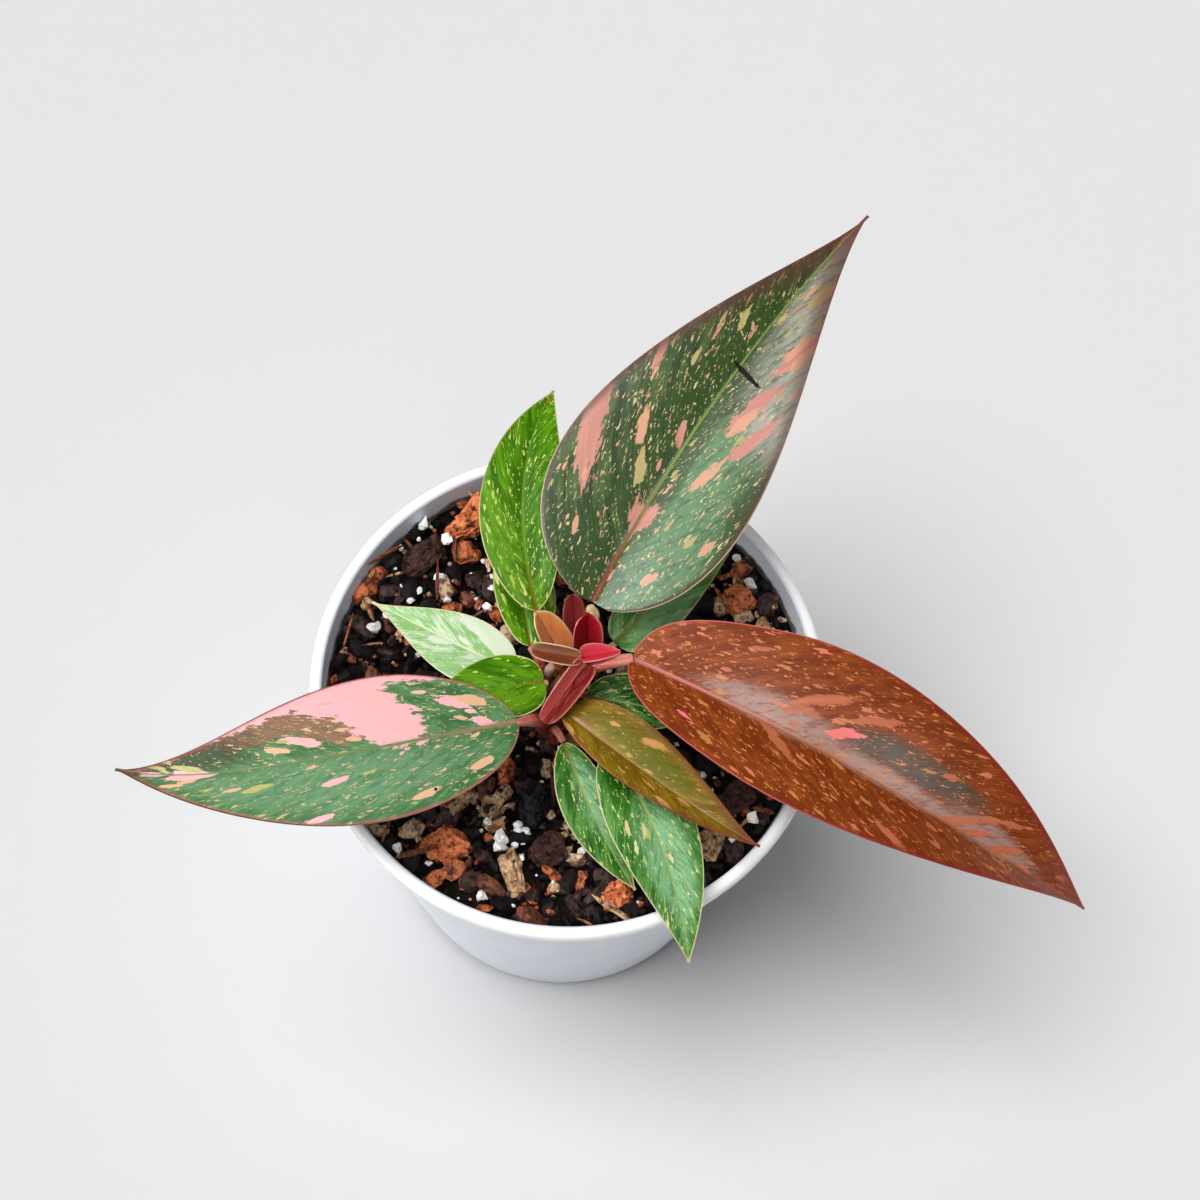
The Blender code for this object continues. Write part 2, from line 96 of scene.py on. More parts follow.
class Finish:
    """A material put together node by node round one Principled shader."""

    def __init__(self, name, roughness, specular=0.5, coat=0.0, coat_roughness=0.2):
        self.material = bpy.data.materials.new(name)
        self.material.use_nodes = True
        self.tree = self.material.node_tree
        self.shader = self.tree.nodes["Principled BSDF"]
        self.shader.inputs["Roughness"].default_value = roughness
        self.shader.inputs["Specular IOR Level"].default_value = specular
        self.shader.inputs["Coat Weight"].default_value = coat
        self.shader.inputs["Coat Roughness"].default_value = coat_roughness

    def node(self, kind, sockets, **settings):
        made = self.tree.nodes.new("ShaderNode" + kind)
        for key, value in settings.items():
            setattr(made, key, value)
        for socket, value in sockets.items():
            if isinstance(value, bpy.types.NodeSocket):
                self.tree.links.new(value, made.inputs[socket])
            else:
                made.inputs[socket].default_value = value
        return made

    def maths(self, operation, first, second=0.0):
        return self.node("Math", {0: first, 1: second}, operation=operation).outputs[0]

    def times(self, first, second):
        return self.maths("MULTIPLY", first, second)

    def plus(self, first, second):
        return self.maths("ADD", first, second)

    def step(self, value, low, high):
        """0 at low and 1 at high, eased between; low may be the larger."""
        sockets = {0: value, 1: low, 2: high}
        return self.node("MapRange", sockets, interpolation_type="SMOOTHSTEP").outputs[0]

    def mix(self, factor, first, second, blend="MIX"):
        sockets = {0: factor, 6: first, 7: second}
        return self.node("Mix", sockets, data_type="RGBA", blend_type=blend).outputs[2]

    def place(self):
        return self.node("TexCoord", {}).outputs["Object"]

    def attribute(self, name, output="Vector"):
        return self.node("Attribute", {}, attribute_name=name).outputs[output]

    def split(self, vector):
        return self.node("SeparateXYZ", {0: vector}).outputs

    def scaled(self, vector, scale):
        return self.node("VectorMath", {0: vector, 1: scale}, operation="MULTIPLY").outputs[0]

    def noise(self, vector, scale=1.0, detail=2.0, rough=0.5, flat=False):
        sockets = {"Vector": vector, "Scale": scale, "Detail": detail, "Roughness": rough}
        kind = "2D" if flat else "3D"
        return self.node("TexNoise", sockets, noise_dimensions=kind).outputs["Fac"]

    def cells(self, vector, scale=1.0, flat=False):
        """Distance to the nearest of a random scatter of points, and that point's own colour."""
        kind = "2D" if flat else "3D"
        sockets = {"Vector": vector, "Scale": scale}
        made = self.node("TexVoronoi", sockets, voronoi_dimensions=kind)
        return made.outputs["Distance"], made.outputs["Color"]

    def join(self, colour=None, roughness=None, height=None, relief=0.0002, strength=0.5):
        """Wires the colour, roughness and bump height into the shader and gives the material."""
        if colour is not None:
            self.tree.links.new(colour, self.shader.inputs["Base Color"])
        if roughness is not None:
            self.tree.links.new(roughness, self.shader.inputs["Roughness"])
        if height is not None:
            sockets = {"Height": height, "Distance": relief, "Strength": strength}
            bump = self.node("Bump", sockets).outputs[0]
            self.tree.links.new(bump, self.shader.inputs["Normal"])
        return self.material


def grid_quads(rows, columns, round_rows=False, round_columns=False):
    """Corner numbers of the cells between neighbouring points of a grid stored row by row."""
    across = np.arange(columns if round_columns else columns - 1)
    down = np.arange(rows if round_rows else rows - 1)
    low = down[:, None] * columns
    high = (down[:, None] + 1) % rows * columns
    after = (across + 1) % columns
    cells = np.stack([low + across, low + after, high + after, high + across], -1)
    return cells.reshape(-1, 4)


def build_mesh(name, points, quads, tables=None, weld=True, crease=CREASE):
    """A mesh of those points, in millimetres, with seams welded and faces turned outwards."""
    mesh = bpy.data.meshes.new(name)
    mesh.from_pydata((np.asarray(points).reshape(-1, 3) * MM).tolist(), [], quads.tolist())
    for key, values in (tables or {}).items():
        kind = "FLOAT_VECTOR" if values.ndim == 2 else "FLOAT"
        made = mesh.attributes.new(key, kind, "POINT")
        field = "vector" if values.ndim == 2 else "value"
        made.data.foreach_set(field, values.astype(np.float32).ravel())
    bm = bmesh.new()
    bm.from_mesh(mesh)
    if weld:
        bmesh.ops.remove_doubles(bm, verts=bm.verts, dist=1e-7)
    bmesh.ops.recalc_face_normals(bm, faces=bm.faces)
    bm.to_mesh(mesh)
    bm.free()
    mesh.shade_smooth()
    mesh.set_sharp_from_angle(angle=crease)
    return mesh


def add_piece(name, mesh, surface, nodes=()):
    """Shows a mesh as a piece of the plant, riding on the one body, in place of its CAD nodes."""
    made = bpy.data.objects.new(name, mesh)
    mesh.materials.append(surface)
    bpy.context.scene.collection.objects.link(made)
    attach(made, "root")
    if nodes:
        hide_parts(*nodes)
    return made


def arc(centre, radius, start, end, count):
    """Points (radius, height) along an arc in the profile's plane, angles in degrees."""
    angles = np.radians(np.linspace(start, end, count))
    return [(centre[0] + radius * math.cos(a), centre[1] + radius * math.sin(a)) for a in angles]


def turned(profile, spokes):
    """Points of a profile (radius, height) carried once round the upright axis."""
    radius, height = np.array(profile).T
    angle = np.linspace(0.0, 2 * math.pi, spokes, endpoint=False)
    flat = radius[:, None]
    level = np.broadcast_to(height[:, None], (len(profile), spokes))
    return np.stack([flat * np.cos(angle), flat * np.sin(angle), level], -1)


lip_bottom = POT_HEIGHT - LIP_HEIGHT
lip_inner = RIM_RADIUS - LIP_WIDTH
inner_floor = BODY_FOOT_RADIUS - WALL - 0.4
foot_radius = BODY_FOOT_RADIUS - FOOT_STEP
wall_heights = np.linspace(lip_bottom - 1.0, FOOT_HEIGHT + 0.6, 12)
wall_share = (wall_heights - FOOT_HEIGHT) / (lip_bottom - FOOT_HEIGHT)
wall_radii = BODY_FOOT_RADIUS + wall_share * (BODY_TOP_RADIUS - BODY_FOOT_RADIUS)
pot_profile = [
    *arc((lip_inner + 0.9, POT_HEIGHT - 0.9), 0.9, 180, 90, 6),
    *arc((RIM_RADIUS - LIP_ROUND, POT_HEIGHT - LIP_ROUND), LIP_ROUND, 90, 0, 8),
    *arc((RIM_RADIUS - 0.8, lip_bottom + 0.8), 0.8, 0, -90, 6),
    (BODY_TOP_RADIUS + 0.15, lip_bottom),
    *zip(wall_radii, wall_heights),
    *arc((BODY_FOOT_RADIUS - 0.5, FOOT_HEIGHT + 0.4), 0.5, 0, -90, 4),
    (foot_radius + 0.2, FOOT_HEIGHT - 0.15),
    (foot_radius, FOOT_HEIGHT - 0.5),
    *arc((foot_radius - 0.6, 0.6), 0.6, 0, -90, 5),
    (foot_radius - 3.0, 0.0),
    (0.0, 0.0),
    (0.0, FLOOR),
    (inner_floor - FOOT_STEP - 0.4, FLOOR),
    (inner_floor, FOOT_HEIGHT + 1.5),
    *zip(wall_radii[::-1] - WALL, wall_heights[::-1]),
    (lip_inner - 0.15, lip_bottom + 1.2),
]
pot_points = turned(pot_profile, POT_SPOKES)
pot_quads = grid_quads(len(pot_profile), POT_SPOKES, round_rows=True, round_columns=True)
pot_mesh = build_mesh("nursery_pot", pot_points, pot_quads)


def bored(mesh, places, radius, depth):
    """The mesh with an upright round hole through it at each place, cut by a Boolean."""
    bm = bmesh.new()
    for x, y in places:
        spot = Matrix.Translation(Vector((x, y, 0.0)) * MM)
        bmesh.ops.create_cone(bm, cap_ends=True, segments=24, radius1=radius * MM,
                              radius2=radius * MM, depth=depth * MM, matrix=spot)
    drill_mesh = bpy.data.meshes.new("drill")
    bm.to_mesh(drill_mesh)
    bm.free()
    drill = bpy.data.objects.new("drill", drill_mesh)
    blank = bpy.data.objects.new("blank", mesh)
    for item in (drill, blank):
        bpy.context.scene.collection.objects.link(item)
    boolean = blank.modifiers.new("holes", "BOOLEAN")
    boolean.object = drill
    evaluated = blank.evaluated_get(bpy.context.evaluated_depsgraph_get())
    cut = bpy.data.meshes.new_from_object(evaluated)
    for item in (drill, blank):
        bpy.data.objects.remove(item)
    cut.set_sharp_from_angle(angle=CREASE)
    return cut


drain_angles = np.linspace(0, 2 * math.pi, DRAIN_COUNT, endpoint=False)
drain_places = DRAIN_RING * np.stack([np.cos(drain_angles), np.sin(drain_angles)], -1)
pot_mesh = bored(pot_mesh, drain_places.tolist(), DRAIN_RADIUS, 4 * FLOOR)


def pot_plastic():
    """White plastic, its lip whiter as a painted highlight: faint cloud, sparse specks, dust by the
    mix.
    """
    made = Finish("pot_white_plastic", 0.36, specular=0.45)
    place = made.place()
    cloud = made.noise(place, 55.0, 3.0)
    white = made.mix(made.step(cloud, 0.35, 0.65), paint(228, 234, 248), paint(234, 240, 252))
    x, y, z = made.split(place)
    radius = made.maths("POWER", made.plus(made.times(x, x), made.times(y, y)), 0.5)
    slope = (BODY_TOP_RADIUS - BODY_FOOT_RADIUS) / (lip_bottom - FOOT_HEIGHT)
    wall_middle = made.plus(made.times(z, slope),
                            (BODY_FOOT_RADIUS - 0.5 * WALL - FOOT_HEIGHT * slope) * MM)
    inside = made.step(made.maths("SUBTRACT", radius, wall_middle), 0.0002, -0.0002)
    ragged = made.plus(z, made.times(made.noise(place, 260.0, 4.0), 0.006))
    dust = made.times(made.step(ragged, *DUST_FADE), inside)
    colour = made.mix(made.times(dust, 0.8), white, paint(66, 54, 48))
    # The outer lip is painted whiter than the wall: a painted highlight for the light on the rim.
    lip_highlight = made.times(made.step(z, *LIP_HIGHLIGHT_FADE), made.step(inside, 1.0, 0.0))
    colour = made.mix(lip_highlight, colour, paint(252, 254, 255))
    distance, tint = made.cells(place, 130.0)
    rare = made.step(made.split(tint)[0], 0.965, 0.975)
    speck = made.times(made.step(distance, 0.032, 0.018), rare)
    colour = made.mix(made.times(speck, 0.7), colour, paint(90, 84, 82))
    rough = made.plus(made.times(made.noise(place, 400.0, 3.0), 0.12), 0.3)
    height = made.noise(place, 900.0, 2.0)
    made.shader.inputs["Subsurface Weight"].default_value = 0.35
    made.shader.inputs["Subsurface Radius"].default_value = (1.0, 0.95, 0.95)
    made.shader.inputs["Subsurface Scale"].default_value = 0.004
    return made.join(colour, rough, height, relief=0.00004, strength=0.4)


add_piece("nursery_pot", pot_mesh, pot_plastic(), ["pot"])

# ---------------------------------------------------------------------------------------------
# Potting mix: a bed of near-black composted bark and charcoal dust that fills the pot to about
# 8 mm under the rim, 11 mm at the middle. Its loose grains are laid on it after the plant.
# ---------------------------------------------------------------------------------------------
SOIL_EDGE = 117.5
SOIL_CROWN = 114.5
BED_SPOKES = 300
BED_RINGS = 110


def lattice_noise(points, cell, seed):
    """Random heights, -1 to 1, at the corners of a cubic lattice, eased between the corners."""
    spot = np.asarray(points, float) / cell + 4096.0
    base = np.floor(spot).astype(np.int64)
    part = spot - base
    part = part * part * (3 - 2 * part)
    total = np.zeros(spot.shape[:-1])
    for corner in np.ndindex(2, 2, 2):
        at = base + np.array(corner)
        mixed = at[..., 0] * 73856093 ^ at[..., 1] * 19349663 ^ at[..., 2] * 83492791
        mixed = (mixed ^ (seed * 668265263)) & 0xFFFFFFFF
        mixed = ((mixed ^ (mixed >> 15)) * 2246822519) & 0xFFFFFFFF
        mixed = ((mixed ^ (mixed >> 13)) * 3266489917) & 0xFFFFFFFF
        height = ((mixed ^ (mixed >> 16)) & 0xFFFF) / 65535.0
        total += height * np.prod(np.where(corner, part, 1 - part), -1)
    return 2 * total - 1


def mix_level(x, y):
    """Height of the bed: a shallow dish that rises with the square of the distance from the axis."""
    share = np.clip(np.hypot(x, y) / BODY_TOP_RADIUS, 0.0, 1.0)
    return SOIL_CROWN + (SOIL_EDGE - SOIL_CROWN) * share * share


def bed_points():
    """The dish, roughened by three sizes of noise, then down the wall and across underneath."""
    pot_slope = (BODY_TOP_RADIUS - BODY_FOOT_RADIUS) / (lip_bottom - FOOT_HEIGHT)
    edge = BODY_TOP_RADIUS - WALL - pot_slope * (lip_bottom - SOIL_EDGE) - 0.3
    profile = [(edge * share, 0.0) for share in np.linspace(0.0, 1.0, BED_RINGS)]
    points = turned(profile, BED_SPOKES)
    level = mix_level(points[..., 0], points[..., 1])
    lumps = 0.9 * lattice_noise(points, 5.5, 1) + 0.55 * lattice_noise(points, 2.4, 2)
    points[..., 2] = level - 0.9 + lumps + 0.3 * lattice_noise(points, 1.1, 3)
    below = [(edge - 2.0, SOIL_EDGE - 20.0), (inner_floor - 0.3, FOOT_HEIGHT + 2.0),
             (inner_floor - FOOT_STEP - 1.6, FLOOR + 0.3), (0.0, FLOOR + 0.3)]
    return np.concatenate([points, turned(below, BED_SPOKES)])


def bed_finish():
    """Black-brown dust with a scatter of paler fibre."""
    made = Finish("potting_mix_bed", 0.8, specular=0.25)
    place = made.place()
    ground = made.mix(made.step(made.noise(place, 330.0, 5.0, 0.7), 0.4, 0.62),
                      paint(7, 5, 5), paint(34, 25, 22))
    fibre = made.step(made.noise(made.scaled(place, (900.0, 300.0, 500.0)), 1.0, 3.0), 0.64, 0.7)
    colour = made.mix(made.times(fibre, 0.5), ground, paint(92, 58, 42))
    height = made.noise(place, 1300.0, 5.0, 0.75)
    return made.join(colour, None, height, relief=0.0006, strength=1.0)


bed = bed_points()
bed_quads = grid_quads(bed.shape[0], BED_SPOKES, round_columns=True)
bed_mesh = build_mesh("potting_mix_bed", bed, bed_quads)
add_piece("potting_mix_bed", bed_mesh, bed_finish(), ["soil"])

# ---------------------------------------------------------------------------------------------
# Stem: a short fleshy shoot that leans back from the front left. Old leaves have left rings round
# it, and its brown skin is paler near the growing tip.
# ---------------------------------------------------------------------------------------------
STEM_PATH = ((-4.2, -8.2, 97.0), (-3.4, -7.3, 113.0), (-1.6, -5.0, 127.0), (1.4, -2.6, 137.0))
STEM_RADII = (5.0, 4.7, 4.2, 3.4)


def smooth_path(points, steps):
    """A Catmull-Rom curve through the points, with that many steps in each span."""
    knots = np.array(points, float)
    knots = np.vstack([2 * knots[0] - knots[1], knots, 2 * knots[-1] - knots[-2]])
    t = np.linspace(0.0, 1.0, steps, endpoint=False)[:, None]
    spans = []
    for p0, p1, p2, p3 in zip(knots, knots[1:], knots[2:], knots[3:]):
        cubic = -p0 + 3 * p1 - 3 * p2 + p3
        square = 2 * p0 - 5 * p1 + 4 * p2 - p3
        spans.append(0.5 * (2 * p1 + (p2 - p0) * t + square * t**2 + cubic * t**3))
    return np.vstack([*spans, knots[-2:-1]])


def rod(path, radii, steps, spokes, shape=None):
    """A round rod along a smooth path.

    Each ring stands square to the path, its first spoke turned as near upwards as it can be, and
    shape(run, angle) scales its radius. Two shrinking rings at each end close it with a dome.
    Gives the points, the share of the length at each, and the angle from the upper side.
    """
    centre = smooth_path(path, steps)
    tangent = np.gradient(centre, axis=0)
    tangent /= np.linalg.norm(tangent, axis=1, keepdims=True)
    run = np.concatenate([[0.0], np.cumsum(np.linalg.norm(np.diff(centre, axis=0), axis=1))])
    run /= run[-1]
    width = np.interp(np.linspace(0, len(radii) - 1, len(centre)), range(len(radii)), radii)
    ends = np.array([1.0, 0.75, 0.0])
    caps = np.array([0.0, 0.45, 0.62])
    first = centre[0] - tangent[0] * width[0] * caps[:0:-1, None]
    last = centre[-1] + tangent[-1] * width[-1] * caps[1:, None]
    centre = np.vstack([first, centre, last])
    tangent = np.vstack([tangent[:1], tangent[:1], tangent, tangent[-1:], tangent[-1:]])
    width = np.concatenate([width[0] * ends[:0:-1], width, width[-1] * ends[1:]])
    run = np.concatenate([[0.0, 0.0], run, [1.0, 1.0]])
    upper = np.cross(np.cross(tangent, [0.0, 0.0, 1.0]), tangent)
    upper /= np.linalg.norm(upper, axis=1, keepdims=True)
    side = np.cross(tangent, upper)
    angle = np.linspace(-math.pi, math.pi, spokes, endpoint=False)
    reach = width[:, None] * (1.0 if shape is None else shape(run[:, None], angle[None, :]))
    points = centre[:, None] + (reach * np.cos(angle))[..., None] * upper[:, None]
    points = points + (reach * np.sin(angle))[..., None] * side[:, None]
    return points, np.broadcast_to(run[:, None], reach.shape), np.broadcast_to(angle, reach.shape)


def rod_mesh(name, path, radii, steps, spokes, shape=None):
    """The rod as a mesh that carries its run, angle and a seed in the attribute grown."""
    points, run, angle = rod(path, radii, steps, spokes, shape)
    seed = float(sum(map(ord, name)) % 97)
    grown = np.stack([run, angle, np.full_like(run, seed)], -1).reshape(-1, 3)
    quads = grid_quads(points.shape[0], spokes, round_columns=True)
    return build_mesh(name, points, quads, {"grown": grown})


def ringed(run, angle):
    """Radius that swells just under each leaf scar and pinches in at it."""
    turn = (run * 5.0 + 0.04 * np.sin(angle)) % 1.0
    return 1.0 + 0.07 * turn**3 - 0.06 * np.exp(-(((turn - 0.02) / 0.05) ** 2))


def stem_finish():
    """Brown corky skin, paler near the tip, with red-brown blotches, scar lines and fine ribs."""
    made = Finish("stem_skin", 0.55)
    run, angle, _ = made.split(made.attribute("grown"))
    place = made.place()
    skin = made.mix(made.step(run, 0.35, 0.9), paint(104, 70, 48), paint(128, 92, 52))
    blotch = made.step(made.noise(place, 420.0, 4.0), 0.45, 0.6)
    skin = made.mix(made.times(blotch, 0.5), skin, paint(84, 34, 28))
    scar = made.maths("FRACT", made.times(run, 5.0))
    line = made.times(made.step(scar, 0.1, 0.02), 0.7)
    colour = made.mix(line, skin, paint(52, 30, 22))
    height = made.noise(made.scaled(place, (1500.0, 1500.0, 300.0)), 1.0, 3.0)
    return made.join(colour, None, height, relief=0.0003)


stem_mesh = rod_mesh("ringed_stem", STEM_PATH, STEM_RADII, 30, 40, ringed)
add_piece("ringed_stem", stem_mesh, stem_finish(), ["stem"])

# ---------------------------------------------------------------------------------------------
# Leaf stalks: twelve fleshy petioles, each grooved along its upper side and winged at its base
# where it clasps the stem, and one pale stub where an old leaf came away.
# ---------------------------------------------------------------------------------------------
PETIOLES = (
    ("back_large", "stalk_green", ((1.0, 2.1, 131.0), (1.6, 5.6, 139.0), (4.6, 9.0, 146.6),
                                   (4.0, 10.4, 149.0)), (1.8, 1.7, 1.6, 1.2)),
    ("right_copper", "stalk_pink", ((1.9, -2.6, 138.2), (3.0, -3.0, 144.6), (7.4, -2.8, 148.2),
                                    (14.2, -1.8, 149.9)), (3.2, 2.4, 1.8, 1.4)),
    ("left_pink", "stalk_pink", ((-5.3, -10.9, 124.0), (-5.5, -12.4, 132.0), (-7.8, -15.6, 141.0),
                                 (-10.9, -17.8, 145.2)), (1.9, 1.6, 1.5, 0.9)),
    ("back_green", "stalk_green", ((-2.5, 1.2, 128.5), (-4.4, 4.8, 136.0), (-7.2, 8.4, 141.6),
                                   (-8.4, 10.3, 143.7)), (1.4, 1.3, 1.2, 1.1)),
    ("back_small", "stalk_pink", ((-4.9, -0.1, 125.5), (-6.6, 2.2, 129.2), (-8.4, 4.4, 131.9),
                                  (-9.6, 5.6, 132.8)), (1.2, 1.1, 1.0, 0.9)),
    ("mint", "stalk_green", ((-8.6, -4.8, 119.0), (-10.0, -3.2, 125.6), (-11.8, -1.3, 130.4),
                             (-12.9, -0.7, 131.8)), (1.2, 1.1, 1.0, 0.9)),
    ("left_small", "stalk_green", ((-7.7, -7.8, 124.0), (-7.2, -6.4, 130.0), (-5.8, -4.8, 134.4),
                                   (-5.4, -4.3, 136.3)), (1.2, 1.1, 1.0, 0.9)),
    ("right_small", "stalk_green", ((2.0, -1.4, 123.0), (5.4, 2.6, 129.0), (9.0, 6.6, 133.0),
                                    (10.2, 7.7, 133.8)), (1.3, 1.1, 1.0, 0.9)),
    ("under_copper", "stalk_pink", ((3.8, -6.7, 120.0), (4.5, -6.3, 126.0), (4.4, -5.6, 129.2),
                                    (4.4, -5.3, 130.2)), (1.2, 1.1, 1.0, 0.9)),
    ("front_bronze", "stalk_pink", ((0.6, -10.6, 127.0), (0.5, -11.4, 134.0),
                                    (-0.4, -12.4, 139.4), (-0.7, -12.9, 141.6)),
     (1.4, 1.3, 1.2, 1.0)),
    ("front_green", "stalk_green", ((1.3, -11.2, 118.0), (4.6, -14.6, 125.0), (9.4, -17.8, 133.6),
                                    (10.8, -18.8, 135.7)), (1.4, 1.3, 1.2, 1.0)),
    ("front_small", "stalk_pink", ((-2.3, -12.4, 119.0), (-2.6, -12.5, 126.5),
                                   (-1.6, -14.2, 130.2), (-0.3, -16.1, 130.0)),
     (1.2, 1.1, 1.0, 0.9)),
    ("stub_old", "sheath_tan", ((-5.0, -1.3, 132.2), (-4.7, -1.1, 136.0), (-4.3, -1.3, 139.3)),
     (1.2, 1.4, 1.1)),
)
PETIOLE_SKIN = {
    "stalk_pink": (paint(166, 28, 40), paint(200, 128, 106)),
    "stalk_green": (paint(140, 70, 50), paint(206, 176, 126)),
    "sheath_tan": (paint(120, 78, 66), paint(206, 170, 158)),
}


def grooved(run, angle):
    """Radius of a petiole: a shallow channel along the top, wider wings low down on each side."""
    channel = 0.16 * np.exp(-((angle / 0.42) ** 2))
    wings = 0.14 * (1 - run) * np.exp(-(((np.abs(angle) - 0.85) / 0.3) ** 2))
    return 1.0 - channel + wings


def petiole_finish(slot):
    """Skin that changes from its base colour to its top colour, with streaks and fine flecks."""
    low, high = PETIOLE_SKIN[slot]
    made = Finish(slot + "_skin", 0.4, coat=0.2)
    run, angle, seed = made.split(made.attribute("grown"))
    skin = made.mix(made.step(run, 0.4, 1.05), low, high)
    long_ways = made.node("CombineXYZ", {0: made.times(run, 3.0), 1: made.times(angle, 2.2),
                                         2: seed})
    streak = made.noise(long_ways.outputs[0], 2.4, 3.0)
    skin = made.mix(made.times(made.step(streak, 0.5, 0.62), 0.45), skin, high)
    groove = made.step(made.maths("ABSOLUTE", angle), 0.55, 0.1)
    skin = made.mix(made.times(groove, 0.35), skin, low)
    distance, _ = made.cells(made.place(), 900.0)
    fleck = made.times(made.step(distance, 0.3, 0.18), 0.35)
    colour = made.mix(fleck, skin, paint(226, 196, 160))
    return made.join(colour, None, streak, relief=0.0002)


petiole_skins = {slot: petiole_finish(slot) for slot in PETIOLE_SKIN}
for key, slot, path, radii in PETIOLES:
    petiole = rod_mesh("petiole_" + key, path, radii, 12, 32, grooved)
    add_piece("petiole_" + key, petiole, petiole_skins[slot], ["stalk_" + key])

# ---------------------------------------------------------------------------------------------
# Leaf blades: twelve tapering blades, each a thin fleshy sheet folded up along its midrib. Side
# veins sweep from the midrib towards the tip, and nearly all flecks and patches follow them.
# ---------------------------------------------------------------------------------------------
LEAF_FIELDS = ("base", "heading", "pitch", "arch", "sway", "hook", "length", "widths", "roll",
               "fold", "curl", "swell", "taper", "lobe")
LEAVES = {
    "back_large": ((4.0, 11.0, 150.0), 64, 25, 22, -11, -2, 115.0, (26.0, 23.3), -6, 10, 13,
                   (0.59, 0.54), (1.61, 1.30), 0.0),
    "right_copper": ((14.0, -1.5, 150.0), -21, 2, 49, 3, 11, 137.0, (24.0, 17.8), -1, 20, 12,
                     (0.71, 0.69), (1.09, 1.50), 0.29),
    "left_pink": ((-10.5, -17.7, 146.0), -160, 13, 26, -6, -26, 94.0, (18.5, 17.6), 6, 11, 15,
                  (0.71, 0.79), (1.28, 1.46), 0.09),
    "back_green": ((-8.6, 10.7, 144.0), 113, 29, 39, -43, -3, 57.0, (10.3, 10.0), 3, 13, 17,
                   (0.83, 0.77), (1.20, 1.00), 0.13),
    "back_small": ((-9.7, 6.0, 133.0), 105, 15, 27, -3, 0, 35.0, (6.5, 8.0), 2, 13, 18,
                   (0.65, 0.60), (0.94, 1.05), 0.14),
    "mint": ((-13.3, -0.6, 132.0), 160, 10, 21, -6, -1, 39.0, (8.5, 8.1), 0, 12, 18,
             (0.62, 0.63), (1.42, 1.42), 0.16),
    "left_small": ((-5.5, -4.2, 137.0), -165, 9, 15, 5, 1, 29.0, (7.9, 8.3), 0, 10, 18,
                   (0.50, 0.57), (1.25, 1.09), 0.12),
    "right_small": ((10.4, 8.0, 134.0), 49, 13, 18, -6, 0, 41.0, (7.2, 7.8), 2, 12, 18,
                    (0.55, 0.46), (1.08, 1.08), 0.18),
    "under_copper": ((4.6, -5.0, 131.0), -6, 7, 16, -3, -1, 29.0, (7.4, 7.1), 0, 12, 18,
                     (0.63, 0.58), (1.14, 1.21), 0.12),
    "front_bronze": ((-0.6, -13.2, 142.0), -36, 11, 31, 8, 11, 56.0, (9.8, 6.1), -9, 19, 16,
                     (0.57, 0.66), (1.25, 1.10), 0.13),
    "front_green": ((11.0, -19.0, 136.0), -54, 6, 27, -22, -4, 54.0, (9.9, 10.0), 0, 12, 18,
                    (0.63, 0.62), (1.10, 1.10), 0.14),
    "front_small": ((0.0, -16.6, 130.0), -67, 1, 20, 14, 4, 39.0, (5.9, 6.6), 1, 11, 18,
                    (0.72, 0.78), (1.04, 1.07), 0.12),
}
SHOULDER = 0.22
TIP_HALF_WIDTH = 0.35
VEIN_SPACING = 3.1

# Marks strewn at random on each blade: kind, how many, the longest and the widest in millimetres
PINK, PEACH, OLIVE = 0, 1, 2
MARK_SEED = 11
SHORTEST = 2.0
NARROWEST = 1.5
STREWN_MARKS = {
    "back_large": ((PINK, 9, 14.0, 5.5), (PEACH, 18, 9.0, 4.0), (OLIVE, 9, 8.0, 3.5)),
    "right_copper": ((PINK, 3, 9.0, 3.0), (PEACH, 26, 16.0, 2.8), (OLIVE, 3, 4.0, 1.8)),
    "left_pink": ((PINK, 8, 10.0, 6.0), (PEACH, 11, 6.0, 3.2), (OLIVE, 4, 5.0, 3.0)),
    "mint": ((PINK, 3, 14.0, 7.0),),
    "back_small": ((PEACH, 2, 4.0, 2.0),),
    "left_small": ((PEACH, 4, 5.0, 2.5),),
    "front_bronze": ((PEACH, 6, 7.0, 3.0),),
    "front_green": ((PEACH, 4, 5.0, 2.2),),
}
# Patches set one by one: kind, then rows of how far along the blade, how far across (right edge
# -1, left edge 1), the length along the veins and the width in millimetres. A row of five is an
# oval that ignores the veins: along, across, the reach each way as shares, and its slant
PATCHES = {
    "back_large": ((PINK, ((0.3, 0.8, 20.0, 6.0), (0.65, -0.75, 13.0, 4.0),
                           (0.45, -0.65, 12.0, 4.0))),),
    "left_pink": ((PINK, ((0.46, -1.04, 0.36, 0.24, 0.0), (0.34, -0.45, 0.1, 0.6, -0.13),
                          (0.42, -0.85, 0.13, 0.35, 0.0), (0.15, -0.55, 7.0, 3.0),
                          (0.53, -0.3, 8.0, 3.0))),),
}

